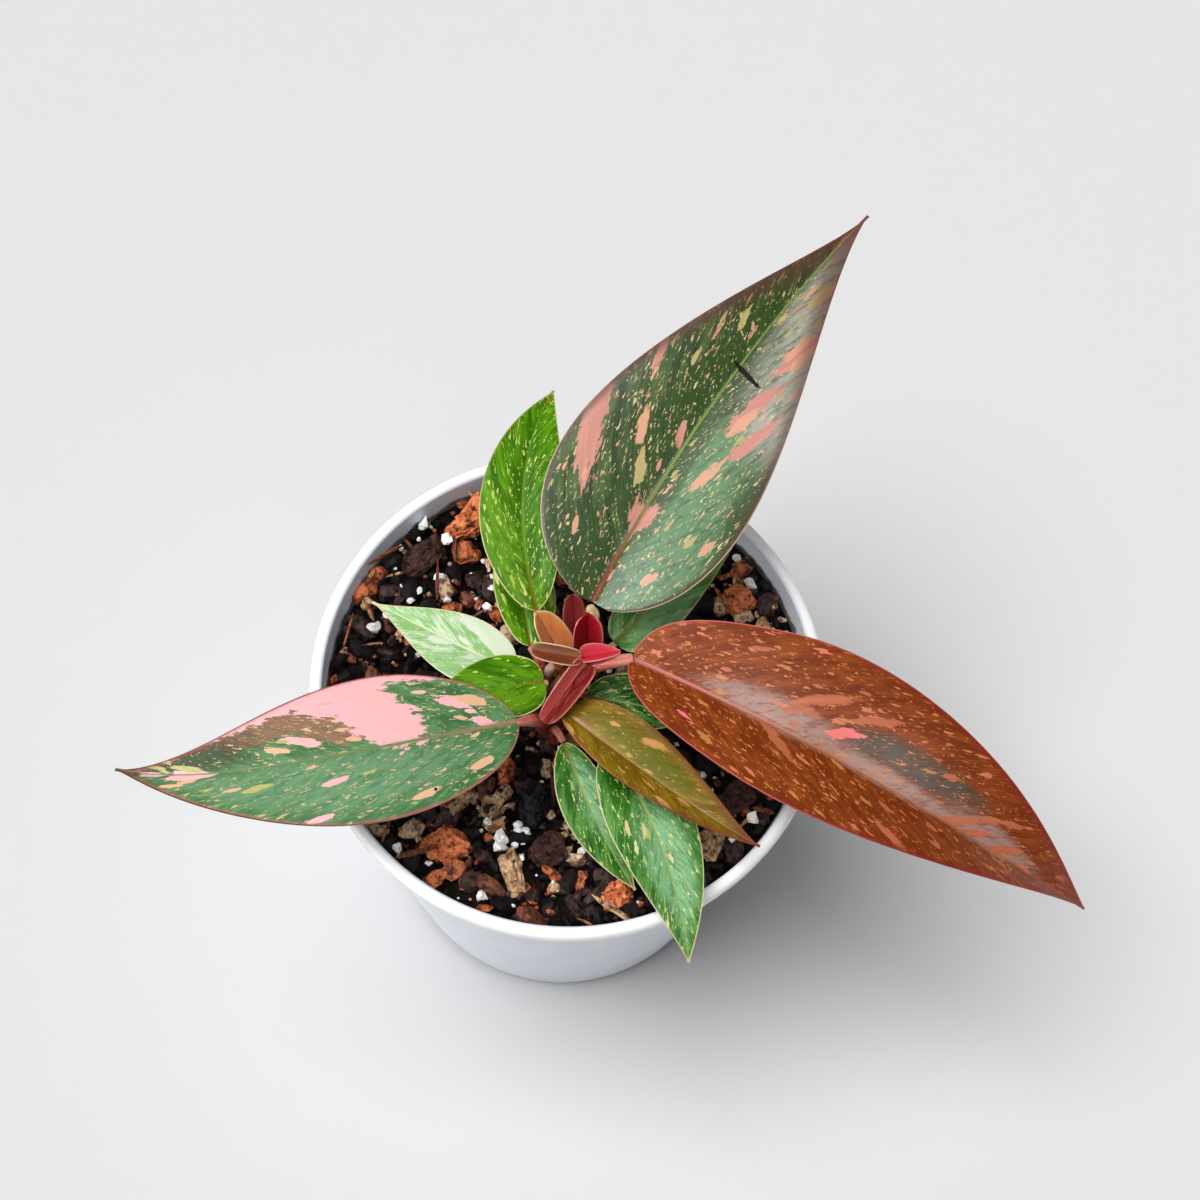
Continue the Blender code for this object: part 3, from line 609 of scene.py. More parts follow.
# Broad soft tones: which of the blade's three tone colours, then along, across, the reach each
# way as shares of the length and the half width, and in some rows the slant
TONES = {
    # back_large's tone 0 is partly a grey-mauve tone, partly painted sheen; its row at 0.5 along is
    # painted sheen.
    "back_large": ((1, (0.2, -0.55, 0.3, 0.7)), (1, (0.34, -0.4, 0.18, 0.45)),
                   (2, (0.06, 0.4, 0.14, 0.8)), (2, (0.5, 0.2, 0.45, 0.4)),
                   (2, (0.35, -0.1, 0.3, 0.16)), (2, (0.32, -1.0, 0.17, 0.34)),
                   (0, (0.82, -0.7, 0.46, 0.85)), (0, (0.66, -0.98, 0.5, 0.34)),
                   (0, (0.5, -0.62, 0.13, 0.26))),
    # right_copper's tone 1 rows are a pale band along the midrib: partly the leaf's bloom, partly
    # painted sheen.
    "right_copper": ((0, (0.47, 0.32, 0.12, 0.26, 0.3)), (0, (0.57, 0.34, 0.13, 0.26, 0.3)),
                     (1, (0.26, 0.12, 0.18, 0.26)), (1, (0.5, 0.05, 0.24, 0.16)),
                     (1, (0.72, 0.12, 0.16, 0.3)),
                     (2, (0.98, 0.0, 0.16, 1.5))),
    "left_pink": ((0, (0.47, -0.55, 0.1, 0.34)), (0, (0.58, -0.8, 0.2, 0.4)),
                  (0, (0.42, -0.3, 0.06, 0.2)), (0, (0.72, -0.92, 0.16, 0.22)),
                  (1, (0.9, -0.5, 0.34, 0.95)), (1, (1.0, 0.0, 0.1, 1.5)),
                  (2, (0.5, 0.4, 0.5, 0.6))),
    "back_green": ((0, (1.0, 0.0, 0.1, 1.5)), (1, (0.25, 0.6, 0.3, 0.5)),
                   (2, (0.6, 0.0, 0.4, 0.4))),
    "back_small": ((2, (0.6, 0.0, 0.4, 0.4)),),
    "left_small": ((1, (0.5, 0.5, 0.5, 0.6)),),
    "mint": ((0, (1.0, 0.0, 0.14, 1.5)), (1, (0.1, -0.3, 0.22, 0.7)), (1, (0.3, 0.75, 0.3, 0.3)),
             (1, (0.75, 0.1, 0.1, 0.8))),
    "right_small": ((1, (0.4, -0.4, 0.4, 0.6)),),
    "front_bronze": ((0, (0.97, 0.0, 0.14, 1.5)), (1, (0.4, 0.4, 0.4, 0.5)),
                     (2, (0.5, 0.95, 0.5, 0.3))),
    "front_green": ((1, (0.6, 0.1, 0.42, 0.9)), (2, (0.1, 0.0, 0.2, 1.2))),
    "front_small": ((1, (0.4, 0.3, 0.4, 0.8)), (0, (0.98, 0.0, 0.08, 1.5))),
}

# Old wounds: along, across, the reach each way, and how far it slants
SCARS = {
    "back_large": ((0.564, -0.14, 0.0062, 0.34, 0.04),),
    "left_pink": ((0.244, 0.78, 0.005, 0.035, 0.0),),
}


def midrib_line(leaf, samples=201):
    """Places, tangents and headings along the midrib, added up from its turning rates."""
    t = np.linspace(0.0, 1.0, samples)
    heading = np.radians(leaf["heading"] + leaf["sway"] * t + leaf["hook"] * t**4)
    pitch = np.radians(leaf["pitch"] - leaf["arch"] * t)
    level = np.cos(pitch)
    tangent = np.stack([level * np.cos(heading), level * np.sin(heading), np.sin(pitch)], -1)
    steps = (tangent[1:] + tangent[:-1]) * 0.5 * leaf["length"] / (samples - 1)
    return t, np.vstack([np.zeros(3), np.cumsum(steps, 0)]) + leaf["base"], tangent, heading


def half_width(leaf, along, side):
    """Half width: a power of the way from the base times a power of the way from the tip."""
    swell = np.where(side >= 0, leaf["swell"][0], leaf["swell"][1])
    taper = np.where(side >= 0, leaf["taper"][0], leaf["taper"][1])
    widest = np.where(side >= 0, leaf["widths"][0], leaf["widths"][1])
    peak = swell / (swell + taper)
    width = widest * along**swell * (1 - along) ** taper / (peak**swell * (1 - peak) ** taper)
    return np.maximum(width, TIP_HALF_WIDTH), widest


def blade_sheet(leaf, along, across):
    """Points of the blade's middle sheet, which is folded at the midrib.

    Each half leaves the midrib at the fold angle and bends back at an even rate to its edge, the
    shoulders reach back past the base, and the edges wave gently up and down.
    """
    t, place, tangent, heading = midrib_line(leaf)
    width, widest = half_width(leaf, along, across)
    shoulder = np.clip(along / SHOULDER, 0.0, 1.0)
    back = leaf["lobe"] * widest * np.sin(np.pi * shoulder) * (1.0 - shoulder) * np.abs(across)
    station = along - back / leaf["length"]
    inside = np.clip(station, 0.0, 1.0)

    def read(table):
        return np.stack([np.interp(inside, t, table[:, k]) for k in range(3)], -1)

    forward = read(tangent)
    forward /= np.linalg.norm(forward, axis=-1, keepdims=True)
    centre = read(place) + forward * ((station - inside) * leaf["length"])[..., None]
    angle = np.interp(inside, t, heading)
    level = np.stack([-np.sin(angle), np.cos(angle), np.zeros_like(angle)], -1)
    upright = np.cross(forward, level)
    roll = math.radians(leaf["roll"])
    sideways = math.cos(roll) * level + math.sin(roll) * upright
    normal = math.cos(roll) * upright - math.sin(roll) * level
    fold, curl = math.radians(leaf["fold"]), math.radians(leaf["curl"])
    reach = np.abs(across) * width
    lean = fold - curl * reach / widest
    out = widest / curl * (math.sin(fold) - np.sin(lean)) * np.sign(across)
    rise = widest / curl * (np.cos(lean) - math.cos(fold))
    wave = leaf.get("wave", 0.0) * widest * across**4 * np.sin(np.pi * along)
    rise = rise + wave * np.sin(9.0 * along + np.where(across > 0, 0.4, 2.6))
    return centre + out[..., None] * sideways + rise[..., None] * normal, reach


def vein_place(leaf, along, across):
    """Where a point lies by the veins: the vein's start along the midrib, and the way out along it.

    A vein leaves the midrib at about 50 degrees near the base and 20 near the tip. Also gives the
    sine of that angle, which turns the two numbers into true distances.
    """
    reach = np.abs(across) * half_width(leaf, along, across)[0]
    lean = 0.85 + 1.7 * along
    return along * leaf["length"] - reach * lean, reach * np.sign(across), 1 / np.hypot(1, lean)


def patch_field(leaf, start, out, sine, row):
    """1 at the middle of a patch drawn out along the veins, 0 at its outline, less outside."""
    along, across, length, width = row
    start_0, out_0, _ = vein_place(leaf, np.array(along), np.array(across))
    aside = (start - start_0) * sine / (0.5 * width)
    ahead = (out - out_0) / sine / (0.5 * length)
    return 1.0 - np.hypot(aside, ahead)


def strewn_marks(rng, count, longest, widest):
    """Rows of patches at random shares of the blade, few of them large.

    With u at random from 0 to 1, each is the shortest length plus the range of lengths times u
    squared, and its width goes the same way from the narrowest.
    """
    size = rng.uniform(0.0, 1.0, count) ** 2
    return np.stack([rng.uniform(0.08, 0.92, count), rng.uniform(-0.92, 0.92, count),
                     SHORTEST + (longest - SHORTEST) * size,
                     NARROWEST + (widest - NARROWEST) * size], -1)


def zone_field(along, across, row):
    """1 at the middle of an oval zone set by shares of the length and half width, 0 at its edge."""
    at, over, reach, spread, *slant = row
    skewed = along - at - (slant[0] if slant else 0.0) * (across - over)
    return 1.0 - np.hypot(skewed / reach, (across - over) / spread)


def shell(middle, thickness, top_relief, bottom_relief):
    """Upper and lower points of a closed sheet: the middle sheet moved both ways along its normal."""
    normal = np.cross(np.gradient(middle, axis=0), np.gradient(middle, axis=1))
    normal /= np.linalg.norm(normal, axis=-1, keepdims=True)
    upper = middle + normal * (0.5 * thickness + top_relief)[..., None]
    lower = middle - normal * (0.5 * thickness + bottom_relief)[..., None]
    return upper, lower


def shell_quads(rows, columns):
    """Cells of the upper grid, of the lower grid, and of the strip that joins their borders."""
    cells = grid_quads(rows, columns)
    index = np.arange(rows * columns).reshape(rows, columns)
    rim = np.concatenate([index[0, :-1], index[:-1, -1], index[-1, :0:-1], index[:0:-1, 0]])
    after = np.roll(rim, -1)
    under = rows * columns
    strip = np.stack([rim, after, after + under, rim + under], -1)
    return np.vstack([cells, cells[:, ::-1] + under, strip])


def blade_mesh(name, leaf, rows, columns, marks=(), tones=(), scars=(), thickness=0.42):
    """A blade as a closed shell with a channelled midrib, quilted veins and a rounded keel below.

    Its attributes say where each point lies: veins, in millimetres along the veins' own lines;
    place, the share of the length, the distance from the edge and from the midrib; marks and
    tones, the fields of its patches; scar, that of its wounds; under, 1 on the lower side.
    """
    even = np.linspace(0.0, 1.0, rows)[:, None] * np.ones(columns)
    along = 0.006 + 0.992 * (0.75 * even + 0.25 * (0.5 - 0.5 * np.cos(np.pi * even)))
    across = np.linspace(-1.0, 1.0, columns)[None, :] * np.ones((rows, 1))
    middle, reach = blade_sheet(leaf, along, across)
    start, out, sine = vein_place(leaf, along, across)
    width = half_width(leaf, along, across)[0]
    scale = min(1.0, leaf["length"] / 60.0) ** 0.5
    rib = scale * (0.18 + 0.5 * (1 - along) ** 1.6)
    spacing = VEIN_SPACING * scale
    off_rib = np.clip(reach / rib - 1.0, 0.0, 1.0) * np.clip((width - reach) / 2.5, 0.0, 1.0)
    quilt = 0.008 * scale * np.cos(2 * np.pi * start / spacing + np.sin(start / 7.0)) * off_rib
    channel = -0.30 * scale * np.exp(-((reach / rib) ** 2)) * (1 - along)
    keel = 0.75 * scale * np.exp(-((reach / (0.9 * rib)) ** 2)) * (1 - 0.8 * along) - quilt
    edge = width - reach
    thick = thickness * (0.55 + 0.45 * np.clip(edge / 1.2, 0.0, 1.0))
    upper, lower = shell(middle, thick, channel + quilt, keel)
    seed = float(sum(map(ord, name)) % 53)

    fields = np.full((3, rows, columns), -3.0)
    for kind, patches in marks:
        for row in patches:
            if len(row) == 4:
                field = patch_field(leaf, start, out, sine, row)
            else:
                field = zone_field(along, across, row)
            fields[kind] = np.maximum(fields[kind], field)
    soft = np.full((3, rows, columns), -1.0)
    for kind, row in tones:
        soft[kind] = np.maximum(soft[kind], zone_field(along, across, row))
    scar = np.full((rows, columns), -3.0)
    for row in scars:
        scar = np.maximum(scar, zone_field(along, across, row))

    def both(*layers):
        flat = np.stack([np.broadcast_to(layer, (rows, columns)) for layer in layers], -1)
        return np.vstack([flat.reshape(-1, len(layers))] * 2)

    tables = {
        "veins": both(start + 211.0 * seed, out, 0 * out),
        "place": both(along, edge, reach / rib),
        "marks": both(*fields),
        "tones": both(*soft),
        "scar": both(scar).ravel(),
        "under": np.repeat([0.0, 1.0], rows * columns),
    }
    points = np.vstack([upper.reshape(-1, 3), lower.reshape(-1, 3)])
    return build_mesh(name, points, shell_quads(rows, columns), tables, weld=False)


# LOOK is back_large's own look and the ground for the rest; its grey tone_0 is partly painted sheen.
LOOK = {
    "deep": paint(30, 50, 10), "light": paint(64, 86, 36), "vein": paint(110, 140, 80),
    "rib": paint(126, 60, 38), "rib_tip": paint(116, 142, 70), "edge": paint(176, 150, 116),
    "edge_tip": paint(110, 50, 48),
    "fleck": paint(196, 180, 124), "streak": paint(198, 142, 112), "pink": paint(178, 114, 100),
    "peach": paint(192, 138, 106), "olive": paint(160, 148, 86), "tone_0": paint(150, 150, 138),
    "tone_1": paint(84, 124, 82), "tone_2": paint(34, 62, 6), "under": paint(118, 128, 84),
    "blush": paint(76, 44, 36), "blush_base": 1.6, "blush_tip": 9.0, "blush_amount": 0.72,
    "tiny": 0.5, "small": 0.36, "large": 0.1, "tone_hard": 0.0, "mottle": 0.6,
    "tear": 1.8, "drawn": 0.85, "rough": 0.3, "shine": 0.5,
    "grain": (0.22, 0.2, 1.0),
}
WOUND = paint(26, 14, 8)


def flecks(made, where, cell, share, radius):
    """A mask of flecks drawn out along the veins, and a random number for each fleck.

    The blade is shared out in cells of about that size, in millimetres across and along the veins.
    That share of them holds a fleck, each of its own size up to the radius, in cells.
    """
    distance, chance = made.cells(made.scaled(where, (1 / cell[0], 1 / cell[1], 1.0)), flat=True)
    pick, colour, _ = made.split(chance)
    size = made.times(made.step(pick, share, 0.0), radius)
    return made.step(made.maths("SUBTRACT", distance, size), 0.0, -0.07), colour


def leaf_finish(name, **changes):
    """A blade's colour from the ground up to flecks, midrib and edge; some tones are partly painted
    sheen.
    """
    look = {**LOOK, **changes}
    made = Finish(name, look["rough"], specular=look["shine"], coat=0.08, coat_roughness=0.2)
    veins = made.attribute("veins")
    run, edge, rib = made.split(made.attribute("place"))
    marks = made.split(made.attribute("marks"))
    tones = made.split(made.attribute("tones"))
    start, out, _ = made.split(veins)

    broad = made.noise(made.scaled(veins, look["grain"]), 1.0, 3.0, 0.6, flat=True)
    streaky = made.noise(made.scaled(veins, (1.5, 0.24, 1.0)), 1.0, 3.0, 0.6, flat=True)
    torn = made.noise(made.scaled(veins, (0.45, 0.9, 1.0)), 1.0, 4.0, 0.7, flat=True)
    block = made.split(made.cells(made.scaled(veins, (0.6, 1.3, 1.0)), flat=True)[1])[0]
    torn = made.plus(made.times(made.maths("SUBTRACT", torn, 0.5), 0.6),
                     made.times(made.maths("SUBTRACT", block, 0.5), 0.2))
    blend = made.plus(made.times(broad, 0.7), made.times(streaky, 0.3))
    colour = made.mix(made.step(blend, 0.4, 0.6), look["deep"], look["light"])
    # Tone zones: the blade's own tones, and on back_large and right_copper partly painted sheen.
    for number, tone in enumerate(tones):
        hard = look["tone_hard"] if number == 0 else 0.0
        shade = made.plus(tone, made.times(torn, 0.5 + hard))
        shade = made.times(made.step(shade, 0.0, 0.6 - 0.52 * hard), 0.85)
        colour = made.mix(shade, colour, look[f"tone_{number}"])
    mottle = made.noise(made.scaled(veins, (0.42, 0.34, 1.0)), 1.0, 5.0, 0.7, flat=True)
    mottle = made.times(made.step(mottle, 0.47, 0.66), look["mottle"])
    colour = made.mix(mottle, colour, look["deep"], blend="DARKEN")

    ripple = made.plus(made.times(start, 2 * math.pi / 1.25), made.times(streaky, 6.0))
    vein_line = made.step(made.maths("SINE", ripple), 0.6, 1.0)
    colour = made.mix(made.times(vein_line, 0.07), colour, look["vein"])

    wander = made.node("TexNoise", {"Vector": made.scaled(veins, (0.9, 0.5, 1.0)), "Detail": 2.0,
                                    "Scale": 1.0}, noise_dimensions="2D").outputs["Color"]
    bent = made.node("VectorMath", {0: veins, 1: made.scaled(wander, (1.3, 1.4, 0.0))},
                     operation="ADD").outputs[0]
    layers = (((1.5, 0.42), look["tiny"], 0.3, "fleck", "fleck", 0.85),
              ((2.5, 0.74), look["small"], 0.33, "fleck", "streak", 0.95),
              ((4.4, 1.8), look["large"], 0.33, "olive", "streak", 1.0))
    for cell, share, radius, one, other, amount in layers:
        mask, pick = flecks(made, bent, (cell[0], cell[1] * look["drawn"]), share, radius)
        tint = made.mix(made.step(pick, 0.3, 0.7), look[one], look[other])
        colour = made.mix(made.times(mask, amount), colour, tint)

    cloud = made.noise(made.scaled(veins, (0.4, 0.12, 1.0)), 1.0, 3.0, flat=True)
    cloud = made.times(made.step(cloud, 0.4, 0.65), 0.35)
    for field, key in zip(marks, ("pink", "peach", "olive")):
        ragged = made.plus(field, made.times(torn, look["tear"]))
        shape = made.step(ragged, 0.06, 0.15)
        colour = made.mix(shape, colour, made.mix(cloud, look[key], look["streak"]))

    reach = made.times(made.maths("POWER", run, 2.0), look["blush_tip"])
    reach = made.plus(reach, look["blush_base"])
    near = made.maths("DIVIDE", edge, made.plus(reach, made.times(torn, 2.0)))
    blush = made.times(made.step(near, 1.0, 0.2), look["blush_amount"])
    colour = made.mix(blush, colour, look["blush"])

    rib_colour = made.mix(made.step(run, 0.04, 0.36), look["rib"], look["rib_tip"])
    beside = made.times(made.step(rib, 2.2, 0.9), 0.2)
    colour = made.mix(beside, colour, rib_colour)
    colour = made.mix(made.step(rib, 1.0, 0.55), colour, rib_colour)
    crease = made.times(made.step(rib, 0.4, 0.1), 0.3)
    colour = made.mix(crease, colour, look["blush"])
    point = made.times(made.step(run, 0.86, 0.99), look["blush_amount"])
    colour = made.mix(point, colour, look["edge_tip"])
    rim = made.mix(made.step(run, 0.2, 0.6), look["edge"], look["edge_tip"])
    colour = made.mix(made.step(edge, 0.34, 0.15), colour, rim)
    wound = made.plus(made.attribute("scar", "Fac"), made.times(torn, 1.2))
    wound = made.step(wound, 0.0, 0.2)
    colour = made.mix(wound, colour, WOUND)
    under = made.times(made.attribute("under", "Fac"), 0.72)
    colour = made.mix(under, colour, look["under"])

    swell = made.times(made.maths("SINE", ripple), 0.18)
    height = made.plus(swell, made.times(streaky, 0.8))
    rough = made.plus(made.times(streaky, 0.14), look["rough"] - 0.07)
    rough = made.maths("MAXIMUM", rough, wound)
    return made.join(colour, rough, height, relief=0.00003, strength=0.4)


bright = {"deep": paint(46, 100, 0), "light": paint(92, 146, 4), "vein": paint(120, 164, 40),
          "rib": paint(112, 112, 24), "rib_tip": paint(92, 140, 16), "edge": paint(206, 206, 140),
          "edge_tip": paint(150, 160, 60), "fleck": paint(190, 206, 92),
          "streak": paint(204, 210, 118), "olive": paint(170, 194, 76),
          "peach": paint(204, 208, 140), "tone_0": paint(120, 60, 20),
          "tone_1": paint(98, 148, 20), "tone_2": paint(48, 98, 0), "blush_amount": 0.0,
          "under": paint(120, 150, 60), "large": 0.08, "shine": 0.25}
cool = {**bright, "deep": paint(34, 92, 12), "light": paint(84, 140, 60),
        "vein": paint(120, 164, 96), "rib": paint(120, 124, 56), "rib_tip": paint(140, 164, 92),
        "fleck": paint(196, 206, 128), "streak": paint(206, 204, 142), "edge": paint(204, 196, 150),
        "edge_tip": paint(196, 184, 134), "tone_0": paint(112, 62, 36),
        "tone_1": paint(126, 176, 128), "tone_2": paint(26, 82, 0),
        "olive": paint(164, 184, 100), "peach": paint(206, 186, 140)}
BLADE_LOOKS = {
    "back_large": ("leaf_dark_variegated", 232, 105, {"wave": 0.02}, {}),
    # The copper blade's pale tone_1 along the midrib is partly its own bloom, partly painted sheen.
    "right_copper": ("leaf_copper", 274, 90, {"wave": 0.02}, {
        "deep": paint(114, 46, 10), "light": paint(142, 65, 20), "vein": paint(170, 98, 58),
        "rib": paint(196, 122, 110), "rib_tip": paint(166, 100, 66), "edge": paint(190, 98, 88),
        "edge_tip": paint(140, 44, 36),
        "fleck": paint(200, 126, 66), "streak": paint(208, 118, 82), "pink": paint(232, 116, 122),
        "peach": paint(178, 98, 68), "olive": paint(180, 126, 64), "tone_0": paint(76, 76, 68),
        "tone_1": paint(164, 134, 126), "tone_2": paint(122, 48, 34), "under": paint(134, 70, 60),
        "blush": paint(134, 40, 30), "blush_base": 0.9, "blush_tip": 3.0, "blush_amount": 0.7,
        "shine": 0.36,
        "tiny": 0.55, "small": 0.42, "large": 0.16, "drawn": 1.2}),
    "left_pink": ("leaf_pink_green", 214, 84, {"wave": 0.02}, {
        "deep": paint(60, 106, 62), "light": paint(92, 138, 88), "pink": paint(240, 178, 184),
        "streak": paint(222, 176, 140), "tone_0": paint(154, 100, 84),
        "tone_1": paint(46, 46, 12), "tone_2": paint(110, 150, 112), "rib": paint(140, 122, 90),
        "rib_tip": paint(108, 130, 82), "olive": paint(170, 176, 100), "tone_hard": 0.9,
        "peach": paint(222, 176, 140), "edge": paint(160, 92, 84), "blush_base": 0.8,
        "blush": paint(196, 80, 84), "blush_amount": 0.6, "tear": 1.2,
        "edge_tip": paint(74, 44, 34), "blush_tip": 0.5}),
    "back_green": ("leaf_bright_green", 124, 44, {"wave": 0.03}, {**bright, "small": 0.5}),
    "back_small": ("leaf_bright_green", 80, 36, {"wave": 0.02}, bright),
    "mint": ("leaf_mint", 90, 40, {"wave": 0.02}, {
        **bright, "deep": paint(132, 178, 106), "light": paint(198, 214, 184),
        "vein": paint(204, 218, 190), "rib": paint(176, 200, 144), "rib_tip": paint(206, 216, 170),
        "fleck": paint(216, 226, 204), "streak": paint(186, 212, 168),
        "olive": paint(176, 204, 152), "pink": paint(212, 222, 200), "tone_0": paint(184, 188, 96),
        "tone_1": paint(134, 182, 106), "edge": paint(226, 224, 186),
        "edge_tip": paint(214, 196, 150), "small": 0.16, "mottle": 0.85, "tear": 1.2,
        "grain": (0.3, 0.4, 1.0)}),
    "left_small": ("leaf_bright_green", 70, 40, {"wave": 0.02},
                   {**bright, "tiny": 0.2, "small": 0.2, "large": 0.05}),
    "right_small": ("leaf_green", 90, 38, {"wave": 0.02},
                    {**cool, "deep": paint(72, 128, 48), "light": paint(140, 184, 112), "tiny": 0.25,
                     "small": 0.2}),
    "under_copper": ("leaf_green", 70, 36, {"wave": 0.02}, {**cool, "deep": paint(26, 70, 14)}),
    "front_bronze": ("leaf_bronze", 124, 44, {"wave": 0.03}, {
        "deep": paint(108, 80, 0), "light": paint(138, 110, 20), "vein": paint(146, 126, 56),
        "rib": paint(142, 96, 40), "rib_tip": paint(140, 118, 50), "edge": paint(160, 108, 62),
        "edge_tip": paint(128, 60, 34), "fleck": paint(176, 152, 70),
        "streak": paint(186, 138, 66), "peach": paint(198, 144, 84),
        "olive": paint(160, 144, 66), "tone_0": paint(110, 50, 34), "tone_1": paint(96, 100, 24),
        "tone_2": paint(128, 104, 60), "under": paint(124, 96, 60), "blush": paint(120, 66, 28),
        "blush_base": 0.8, "blush_tip": 2.0, "blush_amount": 0.6, "small": 0.24}),
    "front_green": ("leaf_green", 118, 48, {"wave": 0.03}, {**cool, "small": 0.42}),
    "front_small": ("leaf_green", 88, 36, {"wave": 0.02}, {**cool, "small": 0.4}),
}
rng = np.random.default_rng(MARK_SEED)
for key, (slot, rows, columns, extra, look) in BLADE_LOOKS.items():
    leaf = {**dict(zip(LEAF_FIELDS, LEAVES[key])), **extra}
    marks = [(kind, strewn_marks(rng, *strewing)) for kind, *strewing in STREWN_MARKS.get(key, ())]
    mesh = blade_mesh("leaf_" + key, leaf, rows, columns, [*PATCHES.get(key, ()), *marks],
                      TONES.get(key, ()), SCARS.get(key, ()))
    add_piece("leaf_" + key, mesh, leaf_finish("blade_" + key, **look), ["blade_" + key])

# ---------------------------------------------------------------------------------------------
# Growing tip: the newest leaf, still cupped and crimson, its small flap, and the boat-shaped
# sheaths of older leaves, red where fresh and tan where they have dried.
# ---------------------------------------------------------------------------------------------
SHEATHS = {
    "young_leaf_red": ((4.0, 2.0, 136.5), 95, 76, 8, 0, 0, 17.6, (5.1, 5.1), 0, 34, -26,
                       (0.4, 0.4), (0.2, 0.2), 0.0),
    "young_leaf_flap": ((2.6, -2.2, 148.8), 14, 12, 10, 0, 0, 9.4, (3.2, 2.6), 0, 34, -14,
                        (0.3, 0.3), (0.85, 0.4), 0.0),
    "sheath_red_front": ((4.0, -2.4, 148.2), -125, -22, 10, 0, 0, 17.6, (6.2, 4.6), -14, 40, -34,
                         (0.14, 0.2), (0.42, 0.4), 0.0),
    "sheath_orange": ((-1.3, 0.5, 137.3), 136, 56, 4, 0, 0, 17.2, (5.4, 5.4), 0, 32, -26,
                      (0.42, 0.42), (0.42, 0.42), 0.0),
    "sheath_brown": ((3.0, -2.4, 149.4), 172, -6, -6, 0, 0, 12.0, (4.4, 4.6), -22, 44, -36,
                     (0.3, 0.3), (0.4, 0.34), 0.0),
    "sheath_maroon_back": ((1.0, 6.2, 134.0), 98, 44, 6, 0, 0, 13.5, (3.9, 3.6), 0, 34, -20,
                           (0.4, 0.4), (0.34, 0.34), 0.0),
}

# Slot, then the colours of the left half, the right half, the fold and the edge
SHEATH_SKIN = {
    # A fold far darker than its halves is painted shade in the fold; the front sheath's pale fold is a
    # ridge.
    "young_leaf_red": ("leaf_crimson", paint(158, 16, 32), paint(168, 22, 38), paint(84, 2, 4),
                       paint(214, 110, 112)),
    "young_leaf_flap": ("leaf_crimson", paint(200, 50, 66), paint(180, 30, 46),
                        paint(188, 40, 56), paint(226, 134, 138)),
    "sheath_red_front": ("leaf_crimson", paint(98, 14, 18), paint(228, 98, 90),
                         paint(214, 128, 110), paint(206, 116, 104)),
    "sheath_orange": ("sheath_tan", paint(204, 140, 96), paint(222, 140, 78),
                      paint(126, 56, 26), paint(224, 186, 140)),
    "sheath_brown": ("sheath_tan", paint(112, 50, 26), paint(170, 122, 90), paint(128, 72, 46),
                     paint(200, 158, 128)),
    "sheath_maroon_back": ("sheath_maroon", paint(140, 46, 44), paint(120, 38, 36),
                           paint(66, 14, 16), paint(150, 76, 68)),
}


def sheath_finish(name, left, right, fold, edge_colour):
    """A waxy sheath: a colour to each half, faint streaks, a fold colour that is painted shade where
    dark, and a pale thin edge.
    """
    made = Finish(name, 0.32, coat=0.2)
    veins = made.attribute("veins")
    run, edge, rib = made.split(made.attribute("place"))
    _, out, _ = made.split(veins)
    streak = made.noise(made.scaled(veins, (0.3, 1.4, 1.0)), 1.0, 3.0, 0.6, flat=True)
    colour = made.mix(made.step(out, -0.9, 0.9), right, left)
    shade = made.times(made.step(streak, 0.45, 0.7), 0.3)
    colour = made.mix(shade, colour, fold)
    # Along the midrib the fold colour; where it is dark, it is painted shade in the fold.
    colour = made.mix(made.step(rib, 2.2, 0.4), colour, fold)
    glow = made.times(made.step(edge, 1.2, 0.2), 0.14)
    colour = made.mix(glow, colour, edge_colour)
    colour = made.mix(made.step(edge, 0.18, 0.06), colour, edge_colour)
    return made.join(colour, None, streak, relief=0.00012, strength=0.4)


for key, (slot, *colours) in SHEATH_SKIN.items():
    leaf = dict(zip(LEAF_FIELDS, SHEATHS[key]))
    mesh = blade_mesh(key + "_grown", leaf, 72, 44, thickness=0.5)
    add_piece(key + "_grown", mesh, sheath_finish(key + "_skin", *colours), [key])

# ---------------------------------------------------------------------------------------------
# Large loose pieces on the mix: chips of pine bark, a lump of charcoal and scraps of dry leaf.
# Bark splits along its grain into blocks with one layered, crumbly face.
# ---------------------------------------------------------------------------------------------

